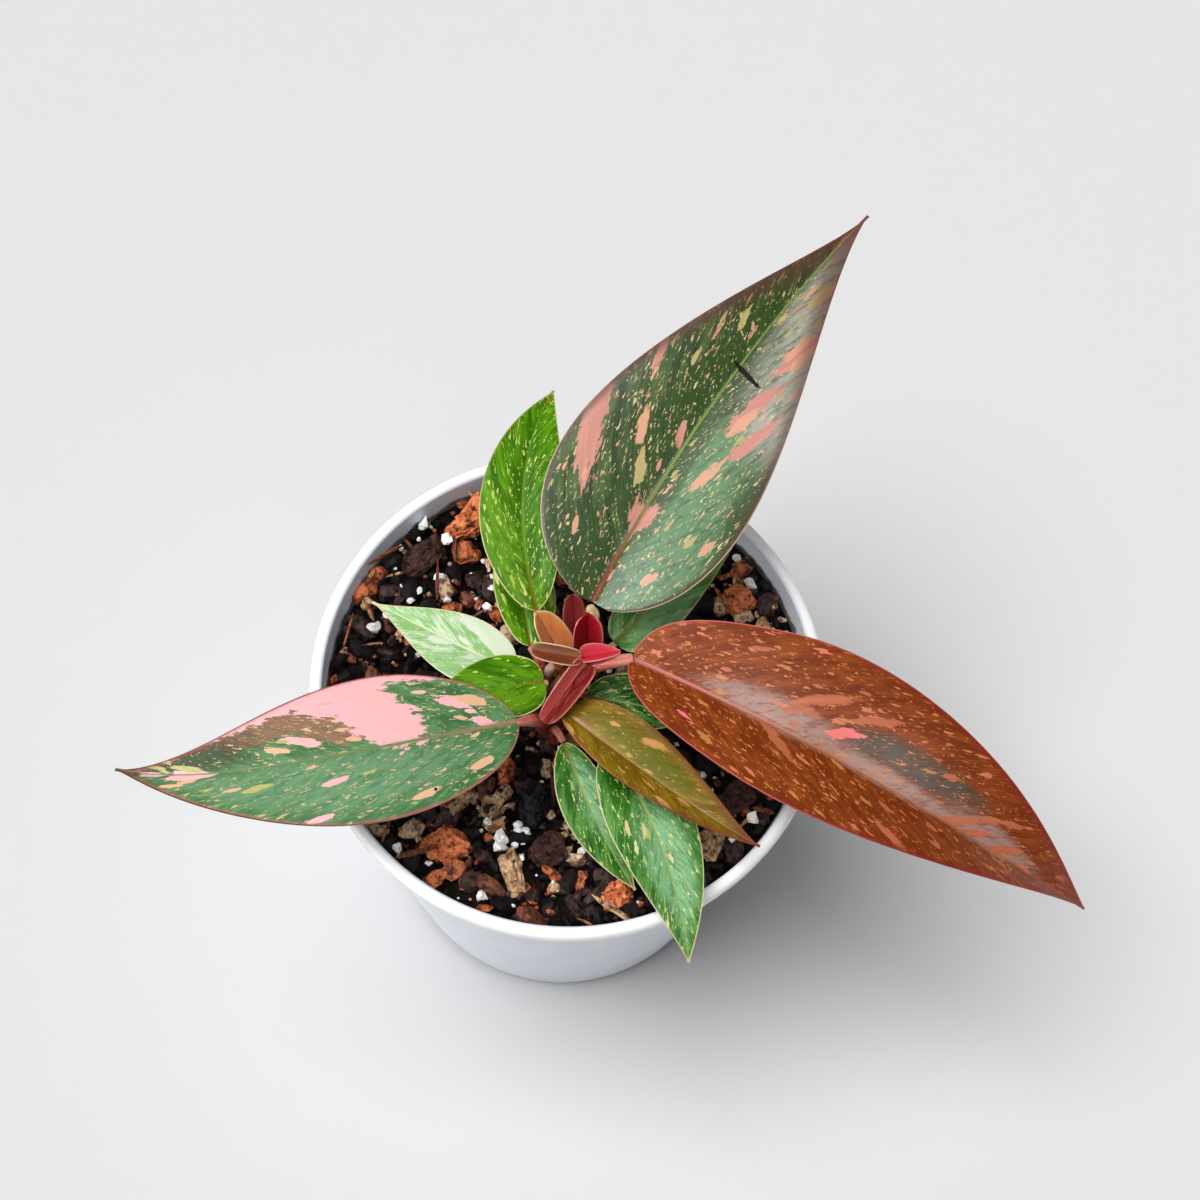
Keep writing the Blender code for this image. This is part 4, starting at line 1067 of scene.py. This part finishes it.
# Piece, slot, place, size (length, width, height), heading in degrees, and lift above the bed
CHIPS = (
    ("bark_rust_back", "bark_rust", (-27.5, 43.5), (13.0, 7.0, 6.0), 58, 0.05),
    ("bark_brown_back", "bark_dark", (-38.5, 33.0), (12.0, 7.0, 4.5), 42, 0.35),
    ("bark_rust_front", "bark_rust", (-25.5, -40.0), (11.5, 7.5, 5.0), 8, 0.05),
    ("leaf_litter_outer", "bark_tan", (-24.5, -28.0), (10.5, 6.0, 4.0), 62, 0.0),
    ("leaf_litter_inner", "bark_tan", (-15.6, -31.5), (9.5, 5.2, 4.0), 105, 0.0),
    ("charcoal_front", "charcoal", (-6.0, -28.8), (11.0, 7.0, 5.0), 80, 0.0),
    ("bark_orange_small", "bark_rust", (-13.4, -21.2), (6.5, 4.0, 3.5), 96, 0.0),
    ("bark_block_front", "bark_dark", (-1.8, -40.6), (8.5, 8.0, 5.0), 40, 0.0),
    ("bark_tan_front", "bark_tan", (-9.4, -46.0), (11.5, 5.0, 3.5), 115, 0.0),
    ("bark_round_front", "bark_rust", (15.5, -49.5), (7.5, 6.5, 5.0), 20, 0.0),
    ("bark_rust_right", "bark_rust", (40.5, 28.5), (7.5, 7.0, 4.5), 30, 0.0),
    ("bark_tan_right", "bark_tan", (47.0, 18.5), (9.5, 6.0, 3.5), 70, 0.0),
    ("bark_dark_right", "bark_dark", (43.0, -22.5), (9.5, 7.0, 4.5), 35, 0.0),
    ("bark_tan_low", "bark_tan", (36.5, -35.5), (8.0, 6.5, 4.0), 60, 0.0),
)
BARK_COLOURS = {
    "bark_rust": (paint(176, 88, 50), paint(236, 142, 94), paint(92, 38, 22)),
    "bark_dark": (paint(50, 34, 32), paint(84, 56, 50), paint(24, 16, 16)),
    "bark_tan": (paint(158, 118, 84), paint(222, 186, 144), paint(92, 60, 40)),
    "charcoal": (paint(18, 17, 20), paint(44, 44, 48), paint(6, 6, 8)),
}


def boulder(rows, columns, square):
    """A rounded block: a ball's points, each moved out until it meets a cube-like outline.

    square is the power of the outline: 2 is a ball, and larger is nearer to a cube.
    """
    down = np.linspace(0.0, math.pi, rows)[:, None]
    turn = np.linspace(0.0, 2 * math.pi, columns, endpoint=False)[None, :]
    ball = np.stack([np.sin(down) * np.cos(turn), np.sin(down) * np.sin(turn),
                     np.cos(down) * np.ones_like(turn)], -1)
    size = np.sum(np.abs(ball) ** square, -1, keepdims=True) ** (1 / square)
    return 0.5 * ball / size


def sliced(points, rng, cuts, depth):
    """Points that lie past any of a few random planes, brought back onto it, to leave flat faces.

    Each plane lies at a share of the body's own reach that way; the leading axis is the bodies.
    """
    for _ in range(cuts):
        way = rng.normal(size=(len(points), 3)) / np.ptp(points, axis=(1, 2))
        way /= np.linalg.norm(way, axis=1, keepdims=True)
        out = np.einsum("nrci,ni->nrc", points, way)
        limit = out.max((1, 2), keepdims=True) * rng.uniform(*depth, (len(points), 1, 1))
        points = points - np.clip(out - limit, 0.0, None)[..., None] * way[:, None, None, :]
    return points


def chip_points(key, size, rough):
    """A boulder of the chip's size, split into layers along its length and crumbled at its ends."""
    seed = sum(map(ord, key))
    points = boulder(56, 84, 5.0)
    shift = np.array([seed % 17, seed % 13, seed % 11]) * 3.0
    bulge = lattice_noise(points * 3.0 + shift, 1.0, seed)
    points = points * (1.0 + 0.22 * bulge[..., None])
    real = sliced(points[None] * np.array(size), np.random.default_rng(seed), 9, (0.6, 0.85))[0]
    layers = lattice_noise(real * np.array([0.16, 1.2, 1.9]) + shift, 1.0, seed + 1)
    crumbs = lattice_noise(real * 1.1 + shift, 1.0, seed + 2)
    fine = lattice_noise(real * 2.6 + shift, 1.0, seed + 3)
    outward = points / np.linalg.norm(points, axis=-1, keepdims=True)
    push = 0.42 * layers + rough * crumbs + 0.16 * fine
    return real + outward * push[..., None]


def scrap_points(key, size):
    """A scrap of dry leaf: a torn oval sheet, rolled up along its length and crumpled."""
    seed = sum(map(ord, key))
    rows, columns = 56, 36
    along = np.linspace(-1.0, 1.0, rows)[:, None] * np.ones(columns)
    across = np.linspace(-1.0, 1.0, columns)[None, :] * np.ones((rows, 1))
    ragged = 1.0 + 0.3 * lattice_noise(np.stack([along * 3, across, along * 0], -1), 0.5, seed)
    width = np.sqrt(np.clip(1.02 - along**2, 0.0, 1.0)) ** 0.8 * ragged
    x = 0.5 * size[0] * along
    roll = 1.15 * across * width
    y = 0.5 * size[1] * np.sin(roll) / math.sin(1.15)
    z = 0.55 * size[2] * (1 - np.cos(roll)) + 0.5 * size[2] * (along - 0.2) ** 2 * 0.6
    middle = np.stack([x, y, z], -1)
    crumple = 0.9 * lattice_noise(middle, 2.6, seed + 1) + 0.4 * lattice_noise(middle, 1.2, seed + 2)
    middle[..., 2] += crumple
    middle[..., 1] += 0.5 * lattice_noise(middle + 9.0, 2.0, seed + 3)
    upper, lower = shell(middle, np.full((rows, columns), 0.3), 0 * along, 0 * along)
    return np.vstack([upper.reshape(-1, 3), lower.reshape(-1, 3)]), shell_quads(rows, columns)


def bark_finish(slot):
    """Bark: long fibres from dark to light, deeper colour in the cracks, no shine."""
    deep, light, crack = BARK_COLOURS[slot]
    made = Finish(slot + "_face", 0.85, specular=0.2)
    place = made.place()
    grain = made.noise(made.scaled(place, (420.0, 420.0, 900.0)), 1.0, 5.0, 0.7)
    lump = made.noise(place, 520.0, 4.0, 0.65)
    colour = made.mix(made.step(grain, 0.38, 0.62), deep, light)
    colour = made.mix(made.step(lump, 0.5, 0.36), colour, crack)
    height = made.plus(grain, lump)
    return made.join(colour, None, height, relief=0.0007, strength=0.9)


bark_faces = {slot: bark_finish(slot) for slot in BARK_COLOURS}
for key, slot, (x, y), size, degrees, lift in CHIPS:
    if key.startswith("leaf_litter"):
        points, quads = scrap_points(key, size)
    else:
        grid = chip_points(key, size, 0.5 if slot in ("charcoal", "bark_rust") else 0.25)
        quads = grid_quads(grid.shape[0], grid.shape[1], round_columns=True)
        points = grid.reshape(-1, 3)
    turn = math.radians(degrees)
    spin = np.array([[math.cos(turn), math.sin(turn), 0], [-math.sin(turn), math.cos(turn), 0],
                     [0, 0, 1]])
    points = points @ spin
    points[:, 2] += mix_level(x, y) + 0.1 - points[:, 2].min() + lift
    mesh = build_mesh(key + "_piece", points + [x, y, 0.0], quads, crease=math.radians(28))
    add_piece(key + "_piece", mesh, bark_faces[slot], [key])

# ---------------------------------------------------------------------------------------------
# Loose grains: broken bark and charcoal from crumbs to small chips, splinters of bark fibre, and
# puffed white perlite. They lie at random where they fell when the pot was filled.
# ---------------------------------------------------------------------------------------------
GROUND_RADIUS = 57.5
MIX_SEED = 20
BARK_COUNT, BIT_COUNT, CRUMB_COUNT, SPLINTER_COUNT = 270, 640, 1700, 90
PERLITE_CLUMP = (-9.5, -36.0)
PERLITE_CLUMP_SPREAD = (4.0, 2.6)
CLUMP_COUNT, BIG_COUNT, FILL_COUNT, TINY_COUNT = 10, 34, 80, 200


def turning_frames(rng, count, tilt):
    """Random turns: any heading about the upright, then a lean of up to about the tilt angle."""
    heading = rng.uniform(0.0, 2 * math.pi, count)
    lean = rng.normal(0.0, 1.0, (count, 2)) * tilt
    frames = np.zeros((count, 3, 3))
    frames[:, 0] = np.stack([np.cos(heading), np.sin(heading), lean[:, 0]], -1)
    frames[:, 0] /= np.linalg.norm(frames[:, 0], axis=1, keepdims=True)
    rough_up = np.stack([-lean[:, 1] * np.sin(heading), lean[:, 1] * np.cos(heading),
                         np.ones(count)], -1)
    frames[:, 1] = np.cross(rough_up, frames[:, 0])
    frames[:, 1] /= np.linalg.norm(frames[:, 1], axis=1, keepdims=True)
    frames[:, 2] = np.cross(frames[:, 0], frames[:, 1])
    return frames


def strewn(name, places, sizes, shape, rng, tilt, jag, cuts, sink, surface):
    """One mesh of many grains: copies of a shape, each stretched, jagged, turned and laid down.

    places are (x, y), sizes (length, width, height), jag is how far noise moves the corners, cuts
    the number of flat faces and sink the share of the height that lies in the bed. Each grain
    carries a random tint.
    """
    count = len(places)
    rows, columns = shape.shape[:2]
    offset = rng.uniform(0.0, 900.0, (count, 1, 1, 3))
    knock = np.stack([lattice_noise(shape * 2.2 + offset, 1.0, axis + 7) for axis in range(3)], -1)
    grains = (shape + jag * knock) * sizes[:, None, None, :]
    grains = sliced(grains, rng, cuts, (0.55, 0.85))
    frames = turning_frames(rng, count, tilt)
    grains = np.einsum("nrci,nij->nrcj", grains, frames)
    low = grains[..., 2].min((1, 2))
    tall = grains[..., 2].max((1, 2)) - low
    level = mix_level(places[:, 0], places[:, 1]) - sink * tall - low
    grains = grains + np.stack([places[:, 0], places[:, 1], level], -1)[:, None, None, :]
    quads = grid_quads(rows, columns, round_columns=True)
    shift = (np.arange(count) * rows * columns)[:, None, None]
    tint = np.repeat(rng.uniform(0.0, 1.0, count), rows * columns)
    quads = (quads[None] + shift).reshape(-1, 4)
    mesh = build_mesh(name, grains, quads, {"tint": tint}, crease=math.radians(28))
    return add_piece(name, mesh, surface)


def spread(rng, count, apart, keep_off=()):
    """Random places on the bed, no two nearer than apart, and clear of the listed circles."""
    kept = []
    while len(kept) < count:
        radius = GROUND_RADIUS * math.sqrt(rng.uniform())
        angle = rng.uniform(0.0, 2 * math.pi)
        spot = np.array([radius * math.cos(angle), radius * math.sin(angle)])
        near = kept and np.min(np.sum((np.array(kept) - spot) ** 2, 1)) < apart * apart
        if not near and all(np.hypot(*(spot - c[:2])) > c[2] for c in keep_off):
            kept.append(spot)
    return np.array(kept)


def grain_finish(name, ramp, rough=0.85):
    """Bark broken small: each grain's tint picks one colour of the range, then grain and cracks."""
    made = Finish(name, rough, specular=0.5)
    place = made.place()
    tint = made.attribute("tint", "Fac")
    bands = made.node("ValToRGB", {0: tint})
    bands.color_ramp.interpolation = "CONSTANT"
    stops = bands.color_ramp.elements
    for number, (start, colour) in enumerate(ramp):
        stop = stops[number] if number < 2 else stops.new(start)
        stop.position = start
        stop.color = colour
    fibre = made.noise(made.scaled(place, (700.0, 500.0, 1100.0)), 1.0, 5.0, 0.75)
    shade = made.mix(made.step(fibre, 0.38, 0.6), paint(84, 74, 70), paint(255, 255, 255))
    colour = made.mix(1.0, bands.outputs[0], shade, "MULTIPLY")
    return made.join(colour, None, fibre, relief=0.0005, strength=0.9)


chip_circles = [(x, y, 0.5 * max(size)) for _, _, (x, y), size, _, _ in CHIPS]
rng = np.random.default_rng(MIX_SEED)
dark_range = ((0.0, paint(18, 15, 16)), (0.28, paint(76, 53, 48)), (0.46, paint(32, 25, 25)),
              (0.6, paint(128, 72, 52)), (0.74, paint(214, 116, 68)), (0.87, paint(236, 198, 160)))
chip_places = spread(rng, BARK_COUNT, 4.4, chip_circles)
chip_sizes = rng.uniform((3.4, 2.8, 2.8), (8.6, 6.0, 5.0), (len(chip_places), 3))
strewn("broken_bark", chip_places, chip_sizes, boulder(8, 10, 4.0), rng, 0.4, 0.16, 7, 0.3,
       grain_finish("broken_bark_face", dark_range, 0.6))
bit_places = spread(rng, BIT_COUNT, 1.8)
bit_sizes = rng.uniform((1.5, 1.1, 1.1), (4.4, 3.0, 2.6), (len(bit_places), 3))
strewn("bark_bits", bit_places, bit_sizes, boulder(6, 8, 3.5), rng, 0.6, 0.2, 4, 0.1,
       grain_finish("bark_bits_face", dark_range, 0.6))
crumb_places = spread(rng, CRUMB_COUNT, 0.5)
crumb_sizes = rng.uniform(0.6, 2.0, (CRUMB_COUNT, 1)) * rng.uniform(0.6, 1.0, (CRUMB_COUNT, 3))
strewn("mix_crumbs", crumb_places, crumb_sizes, boulder(5, 6, 3.0), rng, 0.8, 0.25, 2, -0.1,
       grain_finish("mix_crumbs_face", dark_range))
splinter_places = spread(rng, SPLINTER_COUNT, 4.0)
splinter_sizes = rng.uniform((4.0, 0.5, 0.4), (11.0, 1.6, 1.0), (SPLINTER_COUNT, 3))
splinter_range = ((0.0, paint(140, 76, 46)), (0.35, paint(190, 120, 76)), (0.6, paint(84, 52, 40)),
                  (0.85, paint(214, 172, 132)))
strewn("bark_splinters", splinter_places, splinter_sizes, boulder(7, 6, 6.0), rng, 0.25, 0.2, 2,
       -1.6, grain_finish("bark_splinters_face", splinter_range))


def perlite_finish():
    """Puffed volcanic glass: chalky white with pin holes and a little brown dust."""
    made = Finish("perlite_face", 0.75, specular=0.3)
    place = made.place()
    dust = made.step(made.noise(place, 700.0, 3.0), 0.52, 0.72)
    colour = made.mix(made.times(dust, 0.35), paint(254, 253, 251), paint(190, 172, 156))
    distance, _ = made.cells(place, 2400.0)
    return made.join(colour, None, distance, relief=0.0003, strength=0.7)


clump_places = rng.normal(PERLITE_CLUMP, PERLITE_CLUMP_SPREAD, (CLUMP_COUNT, 2))
big_places = spread(rng, BIG_COUNT, 7.0, chip_circles)
fill_places = spread(rng, FILL_COUNT, 3.0, chip_circles)
tiny_places = spread(rng, TINY_COUNT, 2.0)
perlite_places = np.vstack([clump_places, big_places, fill_places, tiny_places])
perlite_width = np.concatenate([rng.uniform(1.6, 3.2, CLUMP_COUNT + BIG_COUNT),
                                rng.uniform(1.1, 2.3, FILL_COUNT),
                                rng.uniform(0.5, 1.2, TINY_COUNT)])
perlite_sizes = perlite_width[:, None] * rng.uniform(0.8, 1.15, (len(perlite_places), 3))
strewn("perlite_grains", perlite_places, perlite_sizes, boulder(7, 8, 2.4), rng, 0.8, 0.3, 0,
       -0.6, perlite_finish())

# ---------------------------------------------------------------------------------------------
# Studio: a plain pale floor and wall, one broad key light high at the left, a soft fill high at
# the front, cards seen in reflections, and the camera above the front, looking steeply down.
# ---------------------------------------------------------------------------------------------
floor_mesh = bpy.data.meshes.new("studio_floor")
floor_mesh.from_pydata([(-4, -4, 0), (4, -4, 0), (4, 4, 0), (-4, 4, 0)], [], [(0, 1, 2, 3)])
floor = bpy.data.objects.new("studio_floor", floor_mesh)
bpy.context.scene.collection.objects.link(floor)
paper = Finish("studio_paper", 0.9, specular=0.1)
floor_tone = paper.mix(paper.noise(paper.place(), 3.0, 1.0), paint(231, 231, 230),
                       paint(232, 232, 232))
floor_mesh.materials.append(paper.join(floor_tone))

# A round wall that glows in nearly the floor's tone stands far off on every side. Only the camera
# sees it: it neither lights the plant nor stands in the way of the lamps
WALL_RADIUS, WALL_HEIGHT, WALL_SIDES = 3.9, 5.0, 96
turn = np.linspace(0, 2 * math.pi, WALL_SIDES, endpoint=False)
wall_foot = np.stack([np.cos(turn), np.sin(turn), 0 * turn], -1) * WALL_RADIUS
wall_points = np.vstack([wall_foot, wall_foot + (0, 0, WALL_HEIGHT)])
wall_mesh = bpy.data.meshes.new("studio_wall")
wall_mesh.from_pydata(wall_points.tolist(), [],
                      grid_quads(2, WALL_SIDES, round_columns=True).tolist())
wall = bpy.data.objects.new("studio_wall", wall_mesh)
bpy.context.scene.collection.objects.link(wall)
glow = Finish("studio_glow", 1.0, specular=0.0)
glow.shader.inputs["Base Color"].default_value = (0, 0, 0, 1)
glow.shader.inputs["Emission Color"].default_value = paint(227, 227, 227)
glow.shader.inputs["Emission Strength"].default_value = 1.0
wall_mesh.materials.append(glow.join())
wall.visible_diffuse = wall.visible_glossy = wall.visible_transmission = False
wall.visible_shadow = False


def sun(name, heading, height, spread, power, diffuse=True, glossy=True, tint=(1, 1, 1)):
    """A broad lamp far away in a direction given in degrees, with its width in degrees.

    A lamp seen only in reflections is a bright card that gives the leaves their sheen.
    """
    lamp = bpy.data.lights.new(name, "SUN")
    lamp.energy, lamp.angle, lamp.color = power, math.radians(spread), tint
    made = bpy.data.objects.new(name, lamp)
    turn, lift = math.radians(heading), math.radians(height)
    towards = Vector((math.cos(lift) * math.cos(turn), math.cos(lift) * math.sin(turn),
                      math.sin(lift)))
    made.rotation_euler = towards.to_track_quat("Z", "Y").to_euler()
    made.visible_diffuse, made.visible_glossy = diffuse, glossy
    bpy.context.scene.collection.objects.link(made)
    return made


sun("key", 185, 73, 34, 2.58, glossy=False)
sun("high_fill", -90, 78, 56, 0.46, glossy=False)
sun("window_card", -166, 42, 24, 1.05, diffuse=False, tint=(0.9, 0.96, 1.0))
sun("back_card", 156, 52, 24, 0.4, diffuse=False, tint=(0.94, 0.98, 1.0))
sun("front_card", -70, 66, 16, 0.35, diffuse=False)
sun("side_card", -36, 44, 18, 0.3, diffuse=False)
# Two soft lamps for the pot and plant alone, flagged off the floor
plant_lamps = (sun("overhead", 180, 85, 110, 0.6, glossy=False),
               sun("low_fill", 190, 24, 40, 1.3, glossy=False))
plant_only = bpy.data.collections.new("plant_only")
for piece in bpy.data.objects:
    if piece.type == "MESH" and piece not in (floor, wall):
        plant_only.objects.link(piece)
for lamp in plant_lamps:
    lamp.light_linking.receiver_collection = plant_only
world = bpy.data.worlds.new("studio_air")
world.use_nodes = True
world.node_tree.nodes["Background"].inputs[0].default_value = (0.95, 0.97, 1.0, 1.0)
world.node_tree.nodes["Background"].inputs[1].default_value = 0.055
bpy.context.scene.world = world

CAMERA_PLACE = (0.006, -0.183, 0.625)
CAMERA_DIP = math.radians(67.65)
CAMERA_ROLL = math.radians(4.45)
camera_data = bpy.data.cameras.new("camera")
camera_data.lens = 66.0
camera_data.sensor_width = 36.0
camera_data.clip_start = 0.01
camera = bpy.data.objects.new("camera", camera_data)
tilt = Matrix.Rotation(math.pi / 2 - CAMERA_DIP, 4, "X") @ Matrix.Rotation(CAMERA_ROLL, 4, "Z")
camera.matrix_world = Matrix.Translation(CAMERA_PLACE) @ tilt
bpy.context.scene.collection.objects.link(camera)
bpy.context.scene.camera = camera
bpy.context.scene.view_settings.view_transform = "Standard"
